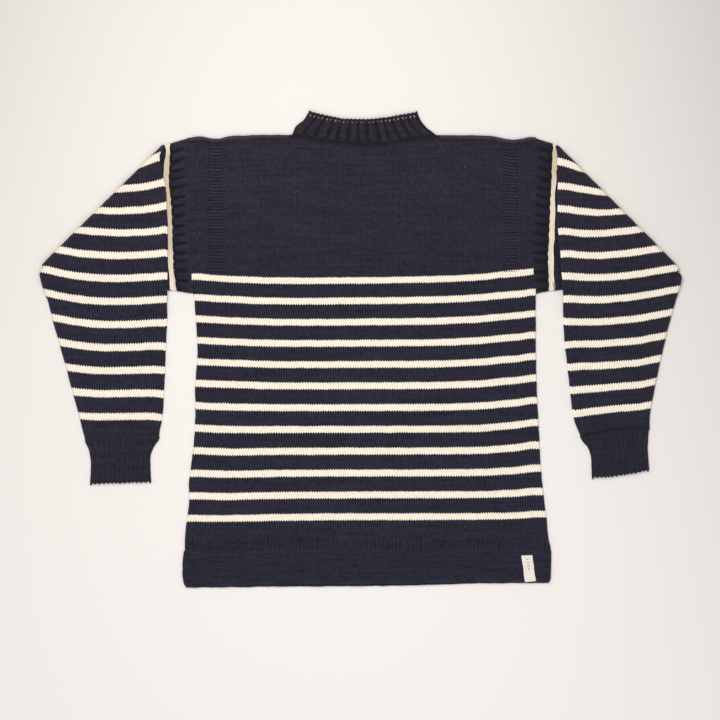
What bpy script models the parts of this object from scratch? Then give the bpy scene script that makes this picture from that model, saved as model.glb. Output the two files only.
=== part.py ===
# A striped breton sweater in thick wool, laid out flat with its sleeves folded
# over at the shoulders. Lengths here are millimetres, turned into metres where
# a point is made. X runs across the body, Y up to the neck, Z off the surface.

import math

import bmesh
import bpy

MILLIMETRE = 0.001

# The middle of the laid garment, taken as the origin
middle_x = 0.3
middle_y = -0.7

# The knitted cloth
cloth = 2.4
layer_gap = 0.3
seam_gap = 0.3
flat_height = 2 * cloth + layer_gap
edge_radius = flat_height / 2
inner_radius = layer_gap / 2
edge_turns = (45, 90, 135)

# The body
shoulder_nominal = 329.0
garter_top = 317.5
garter_ridge_pitch = 5.06
garter_ridges = 40
ridges_per_row = 4
garter_height = 0.9
ridge_end_share = 0.05
garter_columns = ((-235.6, -210.9), (220.2, 243.3))
hem_rib_pitch = 10.0
hem_rib_height = 0.8
plain_columns = (-160.0, 168.0)
body_crown = 1.6
crown_at_ends = 0.35
crown_fade = 70.0
roll_angle = math.acos(inner_radius / edge_radius)
roll_steps = (0.0, 1.3, 2.55)

# Shoulder seam: distance below the edge, how far the ridge stands proud
shoulder_ridge = (
    # below, proud
    (0.0, 0.0),
    (1.3, 0.5),
    (2.55, 1.0),
    (5.5, 1.6),
    (8.5, 1.1),
    (10.5, 0.0),
)

# Sides of the body, from the shoulder to the top of the welt
body_sides = (
    # y, left, right
    (329.0, -266.5, 271.1),
    (317.5, -266.5, 271.1),
    (277.0, -266.5, 270.6),
    (236.5, -266.2, 269.4),
    (196.1, -265.4, 267.2),
    (155.6, -263.8, 266.3),
    (115.1, -261.4, 267.6),
    (90.0, -258.8, 270.6),
    (76.5, -257.2, 271.1),
    (-0.8, -252.6, 271.2),
    (-62.6, -255.7, 272.7),
    (-108.9, -255.7, 275.0),
    (-155.3, -258.8, 277.3),
    (-201.6, -265.0, 280.4),
    (-236.0, -265.5, 284.5),
    (-263.4, -268.8, 288.1),
    (-290.0, -271.6, 290.3),
    (-311.3, -271.9, 294.8),
)
underarm = 84.0
underarm_ease = 6.0

# Top edge of the shoulders, and the neckline of each panel between its ends
shoulder_edge = (
    # x, y
    (-266.5, 327.4),
    (-248.0, 329.9),
    (-221.7, 326.0),
    (-201.6, 330.6),
    (-105.8, 332.2),
    (118.2, 331.4),
    (200.1, 330.6),
    (234.1, 324.8),
    (261.9, 328.4),
    (271.1, 328.2),
)
neckline = (
    # x, front y, back y, collar's top y
    (-105.8, 332.2, 332.2, 367.0),
    (-75.0, 326.2, 330.0, 361.5),
    (-40.0, 319.8, 328.6, 356.0),
    (0.0, 316.2, 328.0, 354.4),
    (40.0, 318.0, 328.4, 356.0),
    (80.0, 325.6, 330.0, 361.0),
    (118.2, 331.4, 331.4, 366.0),
)
neck_end_room = 7.2

# The stand collar
collar_top_left = -80.2
collar_top_right = 88.2
collar_ribs = 13
collar_rib_height = 1.3

# Armhole bands: the outer seam's x at equal steps from shoulder to underarm
armhole_seam = (
    # left, right
    (-296.0, 297.5),
    (-296.1, 296.1),
    (-297.0, 295.1),
    (-294.5, 293.0),
    (-292.3, 292.3),
    (-291.8, 291.2),
    (-291.1, 290.1),
    (-288.9, 290.2),
    (-285.5, 292.5),
)
armhole_top = 318.8
armhole_bottom = 90.4
band_inner_top = 326.8
band_inner_bottom = 86.5
band_ribs = 16
band_rib_height = 1.2

# Sleeves: each row is a section across the sleeve, from its top edge to its
# underarm edge. Turn is how far round the fold the section has gone, drop how
# far it has come down to the surface past the layers below, bow how far its
# middle lies towards the shoulder.
fold_turns = (0, 30, 60, 90, 120, 150, 180)
left_sleeve = (
    # top x, top y, under x, under y, turn, drop, bow
    (-297.4, 318.4, -325.2, 95.0, 0, 0.0, 0.0),
    (-298.8, 317.8, -371.6, 102.7, 0, 0.0, 0.0),
    (-300.2, 316.4, -425.6, 112.0, 0, 0.0, 0.0),
    (-301.4, 313.8, -490.2, 126.4, None, 0.0, 0.0),
    (-302.8, 288.0, -495.0, 123.0, 180, 0.0, 0.0),
    (-301.8, 250.0, -495.4, 121.4, 180, 0.0, 0.0),
    (-299.4, 205.0, -495.6, 119.6, 180, 0.0, 0.0),
    (-299.0, 150.0, -495.4, 116.8, 180, 0.0, 0.0),
    (-299.0, 89.0, -494.4, 111.0, 180, 0.0, 0.0),
    (-299.0, 66.0, -489.8, 90.4, 180, 0.5, 0.0),
    (-299.0, 45.0, -482.8, 70.3, 180, 1.0, 0.0),
    (-300.5, 14.7, -472.0, 30.1, 180, 1.0, 0.0),
    (-302.0, -19.3, -460.4, -10.0, 180, 1.0, 0.0),
    (-303.4, -60.0, -448.0, -57.0, 180, 1.0, 0.0),
    (-306.4, -104.0, -434.6, -106.0, 180, 1.0, 1.5),
    (-312.1, -134.0, -426.4, -138.8, 180, 1.0, 4.0),
)
right_sleeve = (
    # top x, top y, under x, under y, turn, drop, bow
    (299.0, 318.4, 335.0, 96.0, 0, 0.0, 0.0),
    (299.7, 317.8, 382.0, 103.0, 0, 0.0, 0.0),
    (300.2, 316.2, 434.0, 111.5, 0, 0.0, 0.0),
    (300.6, 313.2, 489.4, 122.4, None, 0.0, 0.0),
    (303.0, 286.0, 495.0, 119.6, 180, 0.0, 0.0),
    (304.4, 250.0, 495.5, 118.2, 180, 0.0, 0.0),
    (303.8, 205.0, 496.0, 116.4, 180, 0.0, 0.0),
    (308.2, 150.0, 496.2, 113.0, 180, 0.0, 0.0),
    (312.8, 87.5, 495.4, 106.0, 180, 0.0, 0.0),
    (313.3, 64.0, 491.6, 88.0, 180, 0.5, 0.0),
    (313.8, 44.0, 485.6, 69.0, 180, 1.0, 0.0),
    (315.4, 13.0, 474.6, 28.0, 180, 1.0, 0.0),
    (319.0, -18.0, 466.2, -8.0, 180, 1.0, 1.0),
    (323.6, -60.0, 456.8, -52.0, 180, 1.0, 2.0),
    (329.4, -104.0, 448.2, -96.0, 180, 1.0, 4.0),
    (339.6, -133.6, 447.4, -121.0, 180, 1.0, 6.0),
)
sleeve_points = len(armhole_seam)
sleeve_crown = 1.6

# Cuffs: each row is a section, from the sleeve's seam to the cast-off edge
left_cuff = (
    # outer x, outer y, inner x, inner y, bow, rib share
    (-426.4, -139.3, -312.0, -134.5, 4.0, 0.2),
    (-423.6, -145.6, -314.4, -142.0, 3.0, 1.0),
    (-418.2, -170.7, -324.6, -168.0, 0.5, 1.0),
    (-418.6, -204.6, -323.9, -201.6, 0.0, 1.0),
    (-418.9, -208.0, -323.7, -205.0, 0.0, 0.4),
)
right_cuff = (
    # outer x, outer y, inner x, inner y, bow, rib share
    (447.4, -121.5, 339.6, -134.1, 6.0, 0.2),
    (445.2, -129.0, 344.4, -142.0, 5.0, 1.0),
    (444.4, -158.0, 355.6, -168.0, 0.0, 1.0),
    (446.4, -183.4, 357.8, -195.4, -1.5, 1.0),
    (446.0, -186.8, 357.8, -198.8, -2.0, 0.4),
)
cuff_ribs = 12
cuff_rib_height = 1.0

# Welts: split hem flaps below the body
welt_top = -311.6
welt_edges = (
    # x, front bottom y, back bottom y
    (-275.0, -366.9, -368.5),
    (-170.7, -364.6, -367.4),
    (-124.0, -362.3, -366.9),
    (61.0, -362.3, -365.4),
    (184.6, -360.0, -362.0),
    (294.8, -360.0, -361.3),
)
welt_sides = (
    # y, left, right
    (-311.6, -273.4, 295.0),
    (-332.9, -275.2, 294.4),
    (-356.0, -274.4, 293.4),
    (-370.0, -271.4, 291.0),
)
welt_ridges = 11
welt_ridge_height = 0.7
welt_edge_soft = 1.0
welt_columns = (0.0, 0.003, 0.014, 0.17, 0.34, 0.5, 0.66, 0.83, 0.986, 0.997, 1.0)

# The woven label on the front welt, near its right end
label_corners = (
    # x, y
    (248.0, -318.4),
    (265.3, -317.2),
    (271.1, -357.6),
    (254.2, -359.4),
)
label_thickness = 0.8
label_steps = 6

navy = (0.030, 0.026, 0.042, 1.0)
cream = (0.92, 0.85, 0.70, 1.0)
wool_roughness = 0.9


def mix(a, b, share):
    return a + (b - a) * share


def between(table, at, column=1):
    """A column of the table at a place along its first column, in straight steps."""
    ordered = sorted(table)
    if at <= ordered[0][0]:
        return ordered[0][column]
    for low, high in zip(ordered, ordered[1:]):
        if at <= high[0]:
            return mix(low[column], high[column], (at - low[0]) / (high[0] - low[0]))
    return ordered[-1][column]


def smooth(share):
    share = min(max(share, 0.0), 1.0)
    return share * share * (3 - 2 * share)


def crown(share, y):
    """How far the top layer rises off the one below, over the body and the welt."""
    highest = body_sides[0][0]
    lowest = welt_edges[0][1]
    ends = smooth(min(highest - y, y - lowest) / crown_fade)
    return body_crown * 4 * share * (1 - share) * mix(crown_at_ends, 1.0, ends)


def rib_line(count, height):
    """Shares along a ribbed line and the outer wall's height there, ribs end to end."""
    line = []
    for rib in range(count):
        for part, rise in ((0.0, 0.0), (0.2, 1.0), (0.62, 1.0), (0.82, 0.0)):
            line.append(((rib + part) / count, rise * height))
    line.append((1.0, 0.0))
    return line


def metres(point):
    x, y, z = point
    return (x - middle_x) * MILLIMETRE, (y - middle_y) * MILLIMETRE, z * MILLIMETRE


def make_node(name, bm, colour):
    bmesh.ops.recalc_face_normals(bm, faces=bm.faces)
    mesh = bpy.data.meshes.new(name)
    bm.to_mesh(mesh)
    bm.free()
    mesh.shade_smooth()
    mesh.set_sharp_from_angle(angle=math.radians(50))
    material = bpy.data.materials.new(name)
    material.use_nodes = True
    shader = material.node_tree.nodes["Principled BSDF"]
    shader.inputs["Base Color"].default_value = colour
    shader.inputs["Roughness"].default_value = wool_roughness
    shader.inputs["Metallic"].default_value = 0.0
    mesh.materials.append(material)
    node = bpy.data.objects.new(name, mesh)
    bpy.context.scene.collection.objects.link(node)
    return node


def tube(name, rings, colour):
    """A tube's wall from its sections, each an outer and an inner loop of points."""
    bm = bmesh.new()
    walls = []
    for side in (0, 1):
        walls.append([[bm.verts.new(metres(p)) for p in ring[side]] for ring in rings])
    count = len(rings[0][0])
    for loops in walls:
        for first, second in zip(loops, loops[1:]):
            for k in range(count):
                after = (k + 1) % count
                bm.faces.new((first[k], first[after], second[after], second[k]))
    for end in (0, -1):
        outer, inner = walls[0][end], walls[1][end]
        for k in range(count):
            after = (k + 1) % count
            bm.faces.new((outer[k], outer[after], inner[after], inner[k]))
    return make_node(name, bm, colour)


def flat_ring(upper, lower, upper_rises=None, lower_lifts=None):
    """A flattened tube's section, with a round turn at each end. Upper runs from one
    end to the other and lower comes back. Rises move the upper side's outer wall
    alone, lifts move the whole wall of the lower side."""
    outer, inner = [], []
    for (x, y), rise in zip(upper, upper_rises or [0.0] * len(upper)):
        outer.append((x, y, flat_height + rise))
        inner.append((x, y, flat_height - cloth))
    add_turn(outer, inner, upper[-2], upper[-1], edge_turns)
    for (x, y), lift in zip(lower, lower_lifts or [0.0] * len(lower)):
        outer.append((x, y, lift))
        inner.append((x, y, cloth + lift))
    add_turn(outer, inner, lower[-2], lower[-1], reversed(edge_turns))
    return outer, inner


def add_turn(outer, inner, before, end, angles):
    length = math.dist(before, end)
    out = ((end[0] - before[0]) / length, (end[1] - before[1]) / length)
    for angle in angles:
        across, up = math.sin(math.radians(angle)), math.cos(math.radians(angle))
        for loop, radius in ((outer, edge_radius), (inner, inner_radius)):
            x = end[0] + out[0] * radius * across
            y = end[1] + out[1] * radius * across
            loop.append((x, y, edge_radius + radius * up))


def span(start, end, shares, bow=0.0):
    """Points from start to end, kept an edge's radius short of both."""
    length = math.dist(start, end)
    along = ((end[0] - start[0]) / length, (end[1] - start[1]) / length)
    side = (-along[1], along[0])
    if side[1] < 0:
        side = (along[1], -along[0])
    points = []
    for share in shares:
        distance = edge_radius + (length - 2 * edge_radius) * share
        off = bow * 4 * share * (1 - share)
        points.append((
            start[0] + along[0] * distance + side[0] * off,
            start[1] + along[1] * distance + side[1] * off,
        ))
    return points


def even(count):
    return [k / (count - 1) for k in range(count)]


def grid_wall(name, outer, inner, colour, ridge_runs=()):
    """A closed wall between two grids of points, with runs of ridges on its outer side."""
    bm = bmesh.new()
    top = [[bm.verts.new(metres(p)) for p in row] for row in outer]
    low = [[bm.verts.new(metres(p)) for p in row] for row in inner]
    rows, columns = len(top), len(top[0])
    ridged = {cell for run in ridge_runs for cell in run["cells"]}
    for i in range(rows - 1):
        for j in range(columns - 1):
            bm.faces.new((low[i][j], low[i][j + 1], low[i + 1][j + 1], low[i + 1][j]))
            if (i, j) not in ridged:
                bm.faces.new((top[i][j], top[i + 1][j], top[i + 1][j + 1], top[i][j + 1]))
    rim = [(0, j) for j in range(columns)]
    rim += [(i, columns - 1) for i in range(1, rows)]
    rim += [(rows - 1, j) for j in range(columns - 2, -1, -1)]
    rim += [(i, 0) for i in range(rows - 2, 0, -1)]
    for (i, j), (m, n) in zip(rim, rim[1:] + rim[:1]):
        bm.faces.new((top[i][j], top[m][n], low[m][n], low[i][j]))
    for run in ridge_runs:
        add_ridges(bm, top, run)
    return make_node(name, bm, colour)


def add_ridges(bm, top, run):
    """Ridges along a run of the outer grid's cells, closed to the grid on both sides."""
    ends = None
    for place, (i, j) in enumerate(run["cells"]):
        near_start, far_end = top[i][j], top[i + 1][j + 1]
        near_end, far_start = top[i + 1][j], top[i][j + 1]
        if run["along_row"]:
            near_end, far_start = far_start, near_end
        steps = 2 * run["counts"][place]
        lines = []
        for side, share in enumerate((ridge_end_share, 1 - ridge_end_share)):
            line = [ends[side]] if ends else []
            start = near_start.co.lerp(far_start.co, share)
            end = near_end.co.lerp(far_end.co, share)
            for k in range(len(line), steps + 1):
                point = start.lerp(end, k / steps)
                point.z += (k % 2) * run["height"] * MILLIMETRE
                line.append(bm.verts.new(point))
            lines.append(line)
        ends = (lines[0][-1], lines[1][-1])
        near, far = lines
        for k in range(steps):
            bm.faces.new((near[k], near[k + 1], far[k + 1], far[k]))
        half = steps // 2
        for start, end, line in ((near_start, near_end, near), (far_start, far_end, far)):
            for k in range(half):
                bm.faces.new((start, line[k], line[k + 1]))
                bm.faces.new((end, line[half + k], line[half + k + 1]))
            bm.faces.new((start, line[half], end))
        if place == 0:
            bm.faces.new((near_start, near[0], far[0], far_start))
        if place == len(run["cells"]) - 1:
            bm.faces.new((near_end, near[-1], far[-1], far_end))


def rolled(distance, share):
    """How far from the edge the outer and inner wall lie, and the outer wall's height
    over the middle, where the wall rolls round to meet the other panel."""
    angle = max(0.0, 1 - distance / edge_radius) * roll_angle
    outer = mix(distance, edge_radius - edge_radius * math.sin(angle), share)
    inner = mix(distance, edge_radius - inner_radius * math.sin(angle), share)
    if distance >= edge_radius:
        outer = inner = distance
    return outer, inner, mix(1.0, math.cos(angle), share)


def panel_columns():
    """Where a panel's columns lie: steps in from each side, and shares between them."""
    inside = [row[0] for row in neckline]
    inside += [neckline[0][0] - neck_end_room, neckline[-1][0] + neck_end_room]
    inside += [x for pair in garter_columns for x in pair]
    inside += plain_columns
    inside.sort()
    left, right = body_sides[0][1:]
    columns = [("left", step) for step in roll_steps]
    columns += [("share", (x - left) / (right - left)) for x in inside]
    columns += [("right", step) for step in reversed(roll_steps)]
    return columns, inside


def panel_heights():
    """The rows below the shoulder seam: even ones down the yoke, then the sides' own."""
    row_height = garter_ridge_pitch * ridges_per_row
    heights = [garter_top - row_height * k for k in range(1, garter_ridges // ridges_per_row + 1)]
    heights += [row[0] for row in body_sides if row[0] < heights[-1] - 1]
    return heights


def panel_across(kind, value, nominal):
    """The outer and inner x of a column at a height, its share across, and how much
    of the wall's height is left there."""
    left = between(body_sides, nominal, 1)
    right = between(body_sides, nominal, 2)
    if kind == "share":
        x = mix(left, right, value)
        return x, x, value, 1.0
    roll = smooth((underarm - nominal) / underarm_ease)
    out_by, in_by, height = rolled(value, roll)
    edge, inward = (left, 1) if kind == "left" else (right, -1)
    x_out, x_in = edge + inward * out_by, edge + inward * in_by
    return x_out, x_in, (x_out - left) / (right - left), height


def panel_down(x, index, nominal, neck_column):
    """The outer and inner y of a row at x, the height left there, and the seam's ridge."""
    in_neck = neckline[0][0] - 0.1 <= x <= neckline[-1][0] + 0.1
    edge_y = between(neckline, x, neck_column) if in_neck else between(shoulder_edge, x)
    if index < len(shoulder_ridge):
        below, proud = shoulder_ridge[index]
        out_by, in_by, height = rolled(below, 0.0 if in_neck else 1.0)
        return edge_y - out_by, edge_y - in_by, height, 0.0 if in_neck else proud
    if not in_neck:
        return nominal, nominal, 1.0, 0.0
    yoke = garter_ridge_pitch * garter_ridges
    eased = smooth((nominal - garter_top + yoke) / yoke)
    y = nominal + (edge_y - shoulder_ridge[-1][0] - garter_top) * eased
    return y, y, 1.0, 0.0


def panel(name, layer, neck_column, ridge_runs=()):
    """The front (layer 1) or the back (layer -1), from the shoulders to the welt."""
    heights = [shoulder_nominal] * len(shoulder_ridge) + panel_heights()
    outer, inner = [], []
    for index, nominal in enumerate(heights):
        outer_row, inner_row = [], []
        for kind, value in panel_columns()[0]:
            x_out, x_in, share, side_height = panel_across(kind, value, nominal)
            y_out, y_in, top_height, ridge = panel_down(x_out, index, nominal, neck_column)
            half = edge_radius * side_height * top_height
            lift = crown(share, y_out) if layer > 0 else 0.0
            proud = ridge if layer > 0 else 0.0
            outer_row.append((x_out, y_out, edge_radius + layer * half + proud + lift))
            inner_row.append((x_in, y_in, edge_radius + layer * inner_radius + lift))
        outer.append(outer_row)
        inner.append(inner_row)
    return grid_wall(name, outer, inner, navy, ridge_runs)


def front():
    """The front panel, with its garter columns and its ribs above the welt."""
    inside = panel_columns()[1]
    first_row = len(shoulder_ridge) - 1
    garter_rows = range(first_row, first_row + garter_ridges // ridges_per_row)
    runs = []
    for left, right in garter_columns:
        column = len(roll_steps) + inside.index(left)
        cells = [(row, column) for row in garter_rows]
        counts = [ridges_per_row] * len(cells)
        runs.append({"cells": cells, "counts": counts, "height": garter_height, "along_row": False})
    last_row = len(shoulder_ridge) + len(panel_heights()) - 2
    cells, counts = [], []
    for place, (left, right) in enumerate(zip(inside, inside[1:])):
        cells.append((last_row, len(roll_steps) + place))
        counts.append(max(1, round((right - left) / hem_rib_pitch)))
    runs.append({"cells": cells, "counts": counts, "height": hem_rib_height, "along_row": True})
    return panel("front", 1, 1, runs)


def collar():
    """The ribbed stand collar, one knitted tube picked up round the neckline."""
    line = rib_line(collar_ribs, collar_rib_height)
    back_shares = even(9)
    base_left, base_right = neckline[0][0], neckline[-1][0]
    rings = []
    for up, rib_share in ((0.0, 0.2), (0.1, 1.0), (0.5, 1.0), (0.9, 1.0), (1.0, 0.3)):
        left = mix(base_left, collar_top_left, up)
        right = mix(base_right, collar_top_right, up)

        def at(share, column):
            x_base = mix(base_left + edge_radius, base_right - edge_radius, share)
            x = mix(left + edge_radius, right - edge_radius, share)
            base = between(neckline, x_base, column) + seam_gap
            return x, mix(base, between(neckline, x_base, 3), up)

        upper = [at(share, 1) for share, rise in line]
        lower = [at(share, 2) for share in reversed(back_shares)]
        rings.append(flat_ring(upper, lower, [rise * rib_share for share, rise in line]))
    return tube("collar", rings, navy)


def armhole_x(side, share):
    """The outer armhole seam, at a share of the way from the shoulder down."""
    steps = len(armhole_seam) - 1
    place = min(int(share * steps), steps - 1)
    return mix(armhole_seam[place][side], armhole_seam[place + 1][side], share * steps - place)


def armhole_band(name, side):
    """The ribbed band between the body and a sleeve, its ribs running out to the sleeve."""
    outward = (-1, 1)[side]
    line = rib_line(band_ribs, band_rib_height)
    rings = []
    for out, rib_share in ((0.0, 0.2), (0.14, 1.0), (0.88, 1.0), (1.0, 0.2)):
        top = mix(band_inner_top, armhole_top, out)
        bottom = mix(band_inner_bottom, armhole_bottom, out)

        def at(share):
            y = mix(top - edge_radius, bottom + edge_radius, share)
            body = between(body_sides, y, side + 1) + outward * seam_gap
            return mix(body, armhole_x(side, share), out), y

        upper = [at(share) for share, rise in line]
        lower = [at(share) for share in reversed(even(sleeve_points))]
        rings.append(flat_ring(upper, lower, [rise * rib_share for share, rise in line]))
    return tube(name, rings, navy)


def fold_over(point, turn, out, drop):
    """A point of the flat sleeve, taken round the fold that lays it over itself."""
    x, y, z = point
    angle = math.radians(turn)
    radius = inner_radius + flat_height - z
    height = flat_height + inner_radius - radius * math.cos(angle)
    shift = radius * math.sin(angle)
    return x + out[0] * shift, y + out[1] * shift, height - drop * (flat_height + layer_gap)


def sleeve(name, side, table):
    """A sleeve from the armhole seam, round its fold and down to the cuff's seam."""
    shares = even(sleeve_points)
    outward = (-1, 1)[side]
    fold = next(row for row in table if row[4] is None)
    length = math.dist(fold[:2], fold[2:4])
    out = (outward * abs(fold[3] - fold[1]) / length, abs(fold[2] - fold[0]) / length)

    seam = [
        (armhole_x(side, share) + outward * seam_gap,
         mix(armhole_top - edge_radius, armhole_bottom + edge_radius, share))
        for share in shares
    ]
    rings = [flat_ring(seam, seam[::-1])]
    for top_x, top_y, under_x, under_y, turn, drop, bow in table:
        line = span((top_x, top_y), (under_x, under_y), shares, bow)
        for angle in fold_turns if turn is None else (turn,):
            risen = [-sleeve_crown * 4 * s * (1 - s) * drop for s in reversed(shares)]
            section = flat_ring(line, line[::-1], lower_lifts=risen)
            rings.append([[fold_over(p, angle, out, drop) for p in loop] for loop in section])
    return tube(name, rings, navy)


def cuff(name, table):
    """A ribbed cuff, its ribs running down from the sleeve's seam."""
    line = rib_line(cuff_ribs, cuff_rib_height)
    rings = []
    for outer_x, outer_y, inner_x, inner_y, bow, rib_share in table:
        start, end = (outer_x, outer_y), (inner_x, inner_y)
        upper = span(start, end, [share for share, rise in line], bow)
        lower = span(start, end, even(7), bow)[::-1]
        rings.append(flat_ring(upper, lower, [rise * rib_share for share, rise in line]))
    return tube(name, rings, navy)


def welt(name, layer, ridges):
    """A split hem flap. The front one has garter ridges across it."""
    steps = 2 * ridges if ridges else 2
    edge_column = 1 if layer > 0 else 2
    outer, inner = [], []
    for index in range(steps + 2):
        down = min(index / steps, 1.0)
        at_edge = index == steps + 1
        outer_row, inner_row = [], []
        for share in welt_columns:
            bottom = between(welt_edges, mix(welt_sides[0][1], welt_sides[0][2], share), edge_column)
            y = mix(welt_top, bottom + welt_edge_soft, down) if not at_edge else bottom
            x = mix(between(welt_sides, y, 1), between(welt_sides, y, 2), share)
            lift = crown(share, y) if layer > 0 else 0.0
            ridge = (index % 2) * welt_ridge_height if ridges and not at_edge else 0.0
            soft = welt_edge_soft if at_edge or share in (0.0, 1.0) else 0.0
            low = 0.0 if layer < 0 else cloth + layer_gap
            upper = (x, y, low + cloth + ridge * (share not in (0.0, 1.0)) - soft + lift)
            under = (x, y, low + lift)
            outer_row.append(upper)
            inner_row.append(under)
        outer.append(outer_row)
        inner.append(inner_row)
    return grid_wall(name, outer, inner, navy)


def label():
    """The woven label, laid on the crests of the front welt and following its crown."""
    (ax, ay), (bx, by), (cx, cy), (dx, dy) = label_corners
    outer, inner = [], []
    for down in even(label_steps):
        outer_row, inner_row = [], []
        for across in even(3):
            x = mix(mix(ax, bx, across), mix(dx, cx, across), down)
            y = mix(mix(ay, by, across), mix(dy, cy, across), down)
            left, right = welt_sides[0][1:]
            crest = flat_height + welt_ridge_height + crown((x - left) / (right - left), y)
            inner_row.append((x, y, crest + seam_gap))
            outer_row.append((x, y, crest + seam_gap + label_thickness))
        outer.append(outer_row)
        inner.append(inner_row)
    return grid_wall("label", outer, inner, cream)


for thing in list(bpy.data.objects):
    bpy.data.objects.remove(thing, do_unlink=True)

front()
panel("back", -1, 2)
collar()
armhole_band("armhole_rib_left", 0)
armhole_band("armhole_rib_right", 1)
sleeve("sleeve_left", 0, left_sleeve)
sleeve("sleeve_right", 1, right_sleeve)
cuff("cuff_left", left_cuff)
cuff("cuff_right", right_cuff)
welt("welt_front", 1, welt_ridges)
welt("welt_back", -1, 0)
label()
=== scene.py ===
import math

import bmesh
import bpy
from mathutils import Matrix, Vector, noise


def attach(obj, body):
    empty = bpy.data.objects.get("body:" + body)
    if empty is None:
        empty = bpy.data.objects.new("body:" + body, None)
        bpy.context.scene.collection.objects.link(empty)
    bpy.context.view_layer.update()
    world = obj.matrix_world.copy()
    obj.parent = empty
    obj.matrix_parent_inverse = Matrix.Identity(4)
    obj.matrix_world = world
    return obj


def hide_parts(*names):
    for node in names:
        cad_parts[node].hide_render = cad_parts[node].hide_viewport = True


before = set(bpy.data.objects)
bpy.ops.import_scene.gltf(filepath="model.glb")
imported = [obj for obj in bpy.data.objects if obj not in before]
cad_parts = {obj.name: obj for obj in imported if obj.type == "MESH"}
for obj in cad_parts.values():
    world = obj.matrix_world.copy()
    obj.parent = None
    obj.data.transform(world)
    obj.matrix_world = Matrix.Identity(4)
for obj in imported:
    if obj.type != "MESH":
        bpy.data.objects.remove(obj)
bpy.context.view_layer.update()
print("frame loaded,", len(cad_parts), "nodes")

# Lengths are millimetres until metres() places a point. X runs across, Y up to the neck.
cloth = {
    "thickness": 2.4,
    "layerGap": 0.3,
    "seamGap": 0.3,
    "middleX": 0.3,
    "middleY": -0.7,
    "wale": 3.8,  # one knitted column
    "course": 2.75,  # one knitted row
}
flatHeight = 2 * cloth["thickness"] + cloth["layerGap"]
edgeRadius = flatHeight / 2
innerRadius = cloth["layerGap"] / 2


def mix(a, b, share):
    return a + (b - a) * share


def smooth(share):
    share = min(max(share, 0.0), 1.0)
    return share * share * (3 - 2 * share)


def bump(distance, width):  # 1 at the middle, easing to 0 at the width
    return 1 - smooth(abs(distance) / width)


def curve(table, at, column=1):  # a smooth line through the table's rows
    if at <= table[0][0]:
        return table[0][column]
    if at >= table[-1][0]:
        return table[-1][column]
    for k in range(len(table) - 1):
        if at <= table[k + 1][0]:
            break
    before, low, high = table[max(k - 1, 0)], table[k], table[k + 1]
    after = table[min(k + 2, len(table) - 1)]
    span = high[0] - low[0]
    share = (at - low[0]) / span
    slopeLow = (high[column] - before[column]) / (high[0] - before[0]) * span
    slopeHigh = (after[column] - low[column]) / (after[0] - low[0]) * span
    s2, s3 = share * share, share * share * share
    return (
        low[column] * (2 * s3 - 3 * s2 + 1) + slopeLow * (s3 - 2 * s2 + share)
        + high[column] * (3 * s2 - 2 * s3) + slopeHigh * (s3 - s2)
    )


def straight(table, at, column=1):  # straight lines between the table's rows
    if at <= table[0][0]:
        return table[0][column]
    for low, high in zip(table, table[1:]):
        if at <= high[0]:
            return mix(low[column], high[column], (at - low[0]) / (high[0] - low[0]))
    return table[-1][column]


def spread(count, low=0.0, high=1.0):  # equal steps with both ends
    return [mix(low, high, k / count) for k in range(count + 1)]


def stops(cell, ends):  # places from 0 to 1, closer together at both ends
    first, last = ends[-1], 1.0 - ends[-1]
    middle = spread(round((last - first) / cell), first, last)
    return [*ends[:-1], *middle, *(1.0 - end for end in reversed(ends[:-1]))]


def metres(point):
    return Vector((point[0] - cloth["middleX"], point[1] - cloth["middleY"], point[2])) * 0.001


# Cloth pieces start as flat grids of stops, are refined, and then laid in place


def stopGrid(across, down):
    bm = bmesh.new()
    bm.loops.layers.uv.new("UVMap")
    bmesh.ops.create_grid(bm, x_segments=len(across) - 1, y_segments=len(down) - 1, size=0.5)
    for vertex in bm.verts:
        column = round((vertex.co.x + 0.5) * (len(across) - 1))
        row = round((vertex.co.y + 0.5) * (len(down) - 1))
        vertex.co = (across[column], down[row], 0)
    return bm


def refine(bm, acrossRange, downRange, cuts):  # finer cells in part of a flat grid
    def inside(vertex):
        return (acrossRange[0] <= vertex.co.x <= acrossRange[1]
                and downRange[0] <= vertex.co.y <= downRange[1])

    edges = [edge for edge in bm.edges if inside(edge.verts[0]) and inside(edge.verts[1])]
    bmesh.ops.subdivide_edges(bm, edges=edges, cuts=cuts, use_grid_fill=True)


def wobble(x, y):  # hand-knitted edges and rows wander a little
    return [0.6 * noise.noise(Vector((x * 0.07, y * 0.07, layer)))
            + 0.35 * noise.noise(Vector((x * 0.25, y * 0.25, layer))) for layer in (2.3, 31.6)]


def layCloth(bm, pointAt, stitchAt, shadeAt=None, kindAt=None):
    uvLayer = bm.loops.layers.uv.verify()
    # Painted shade for points down in a rib, groove or fold, with painted highlight where it is below 0; then
    # the stitch kind: 0 is V stitches, 1 purl bumps and 2 plain yarn
    shadeLayer = bm.verts.layers.float.new("paintedShading")
    kindLayer = bm.verts.layers.float.new("stitchKind")
    stitches, points = {}, {}
    for vertex in bm.verts:
        a, d = vertex.co.x, vertex.co.y
        x, y, z = pointAt(a, d)
        swayX, swayY = wobble(x, y)
        stitches[vertex] = stitchAt(a, d)
        points[vertex] = metres((x + swayX, y + swayY, z))
        vertex[shadeLayer] = shadeAt(a, d) if shadeAt else 0.0
        vertex[kindLayer] = kindAt(a, d) if kindAt else 0.0
    for face in bm.faces:
        for loop in face.loops:
            loop[uvLayer].uv = stitches[loop.vert]
    for vertex, point in points.items():
        vertex.co = point


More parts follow.
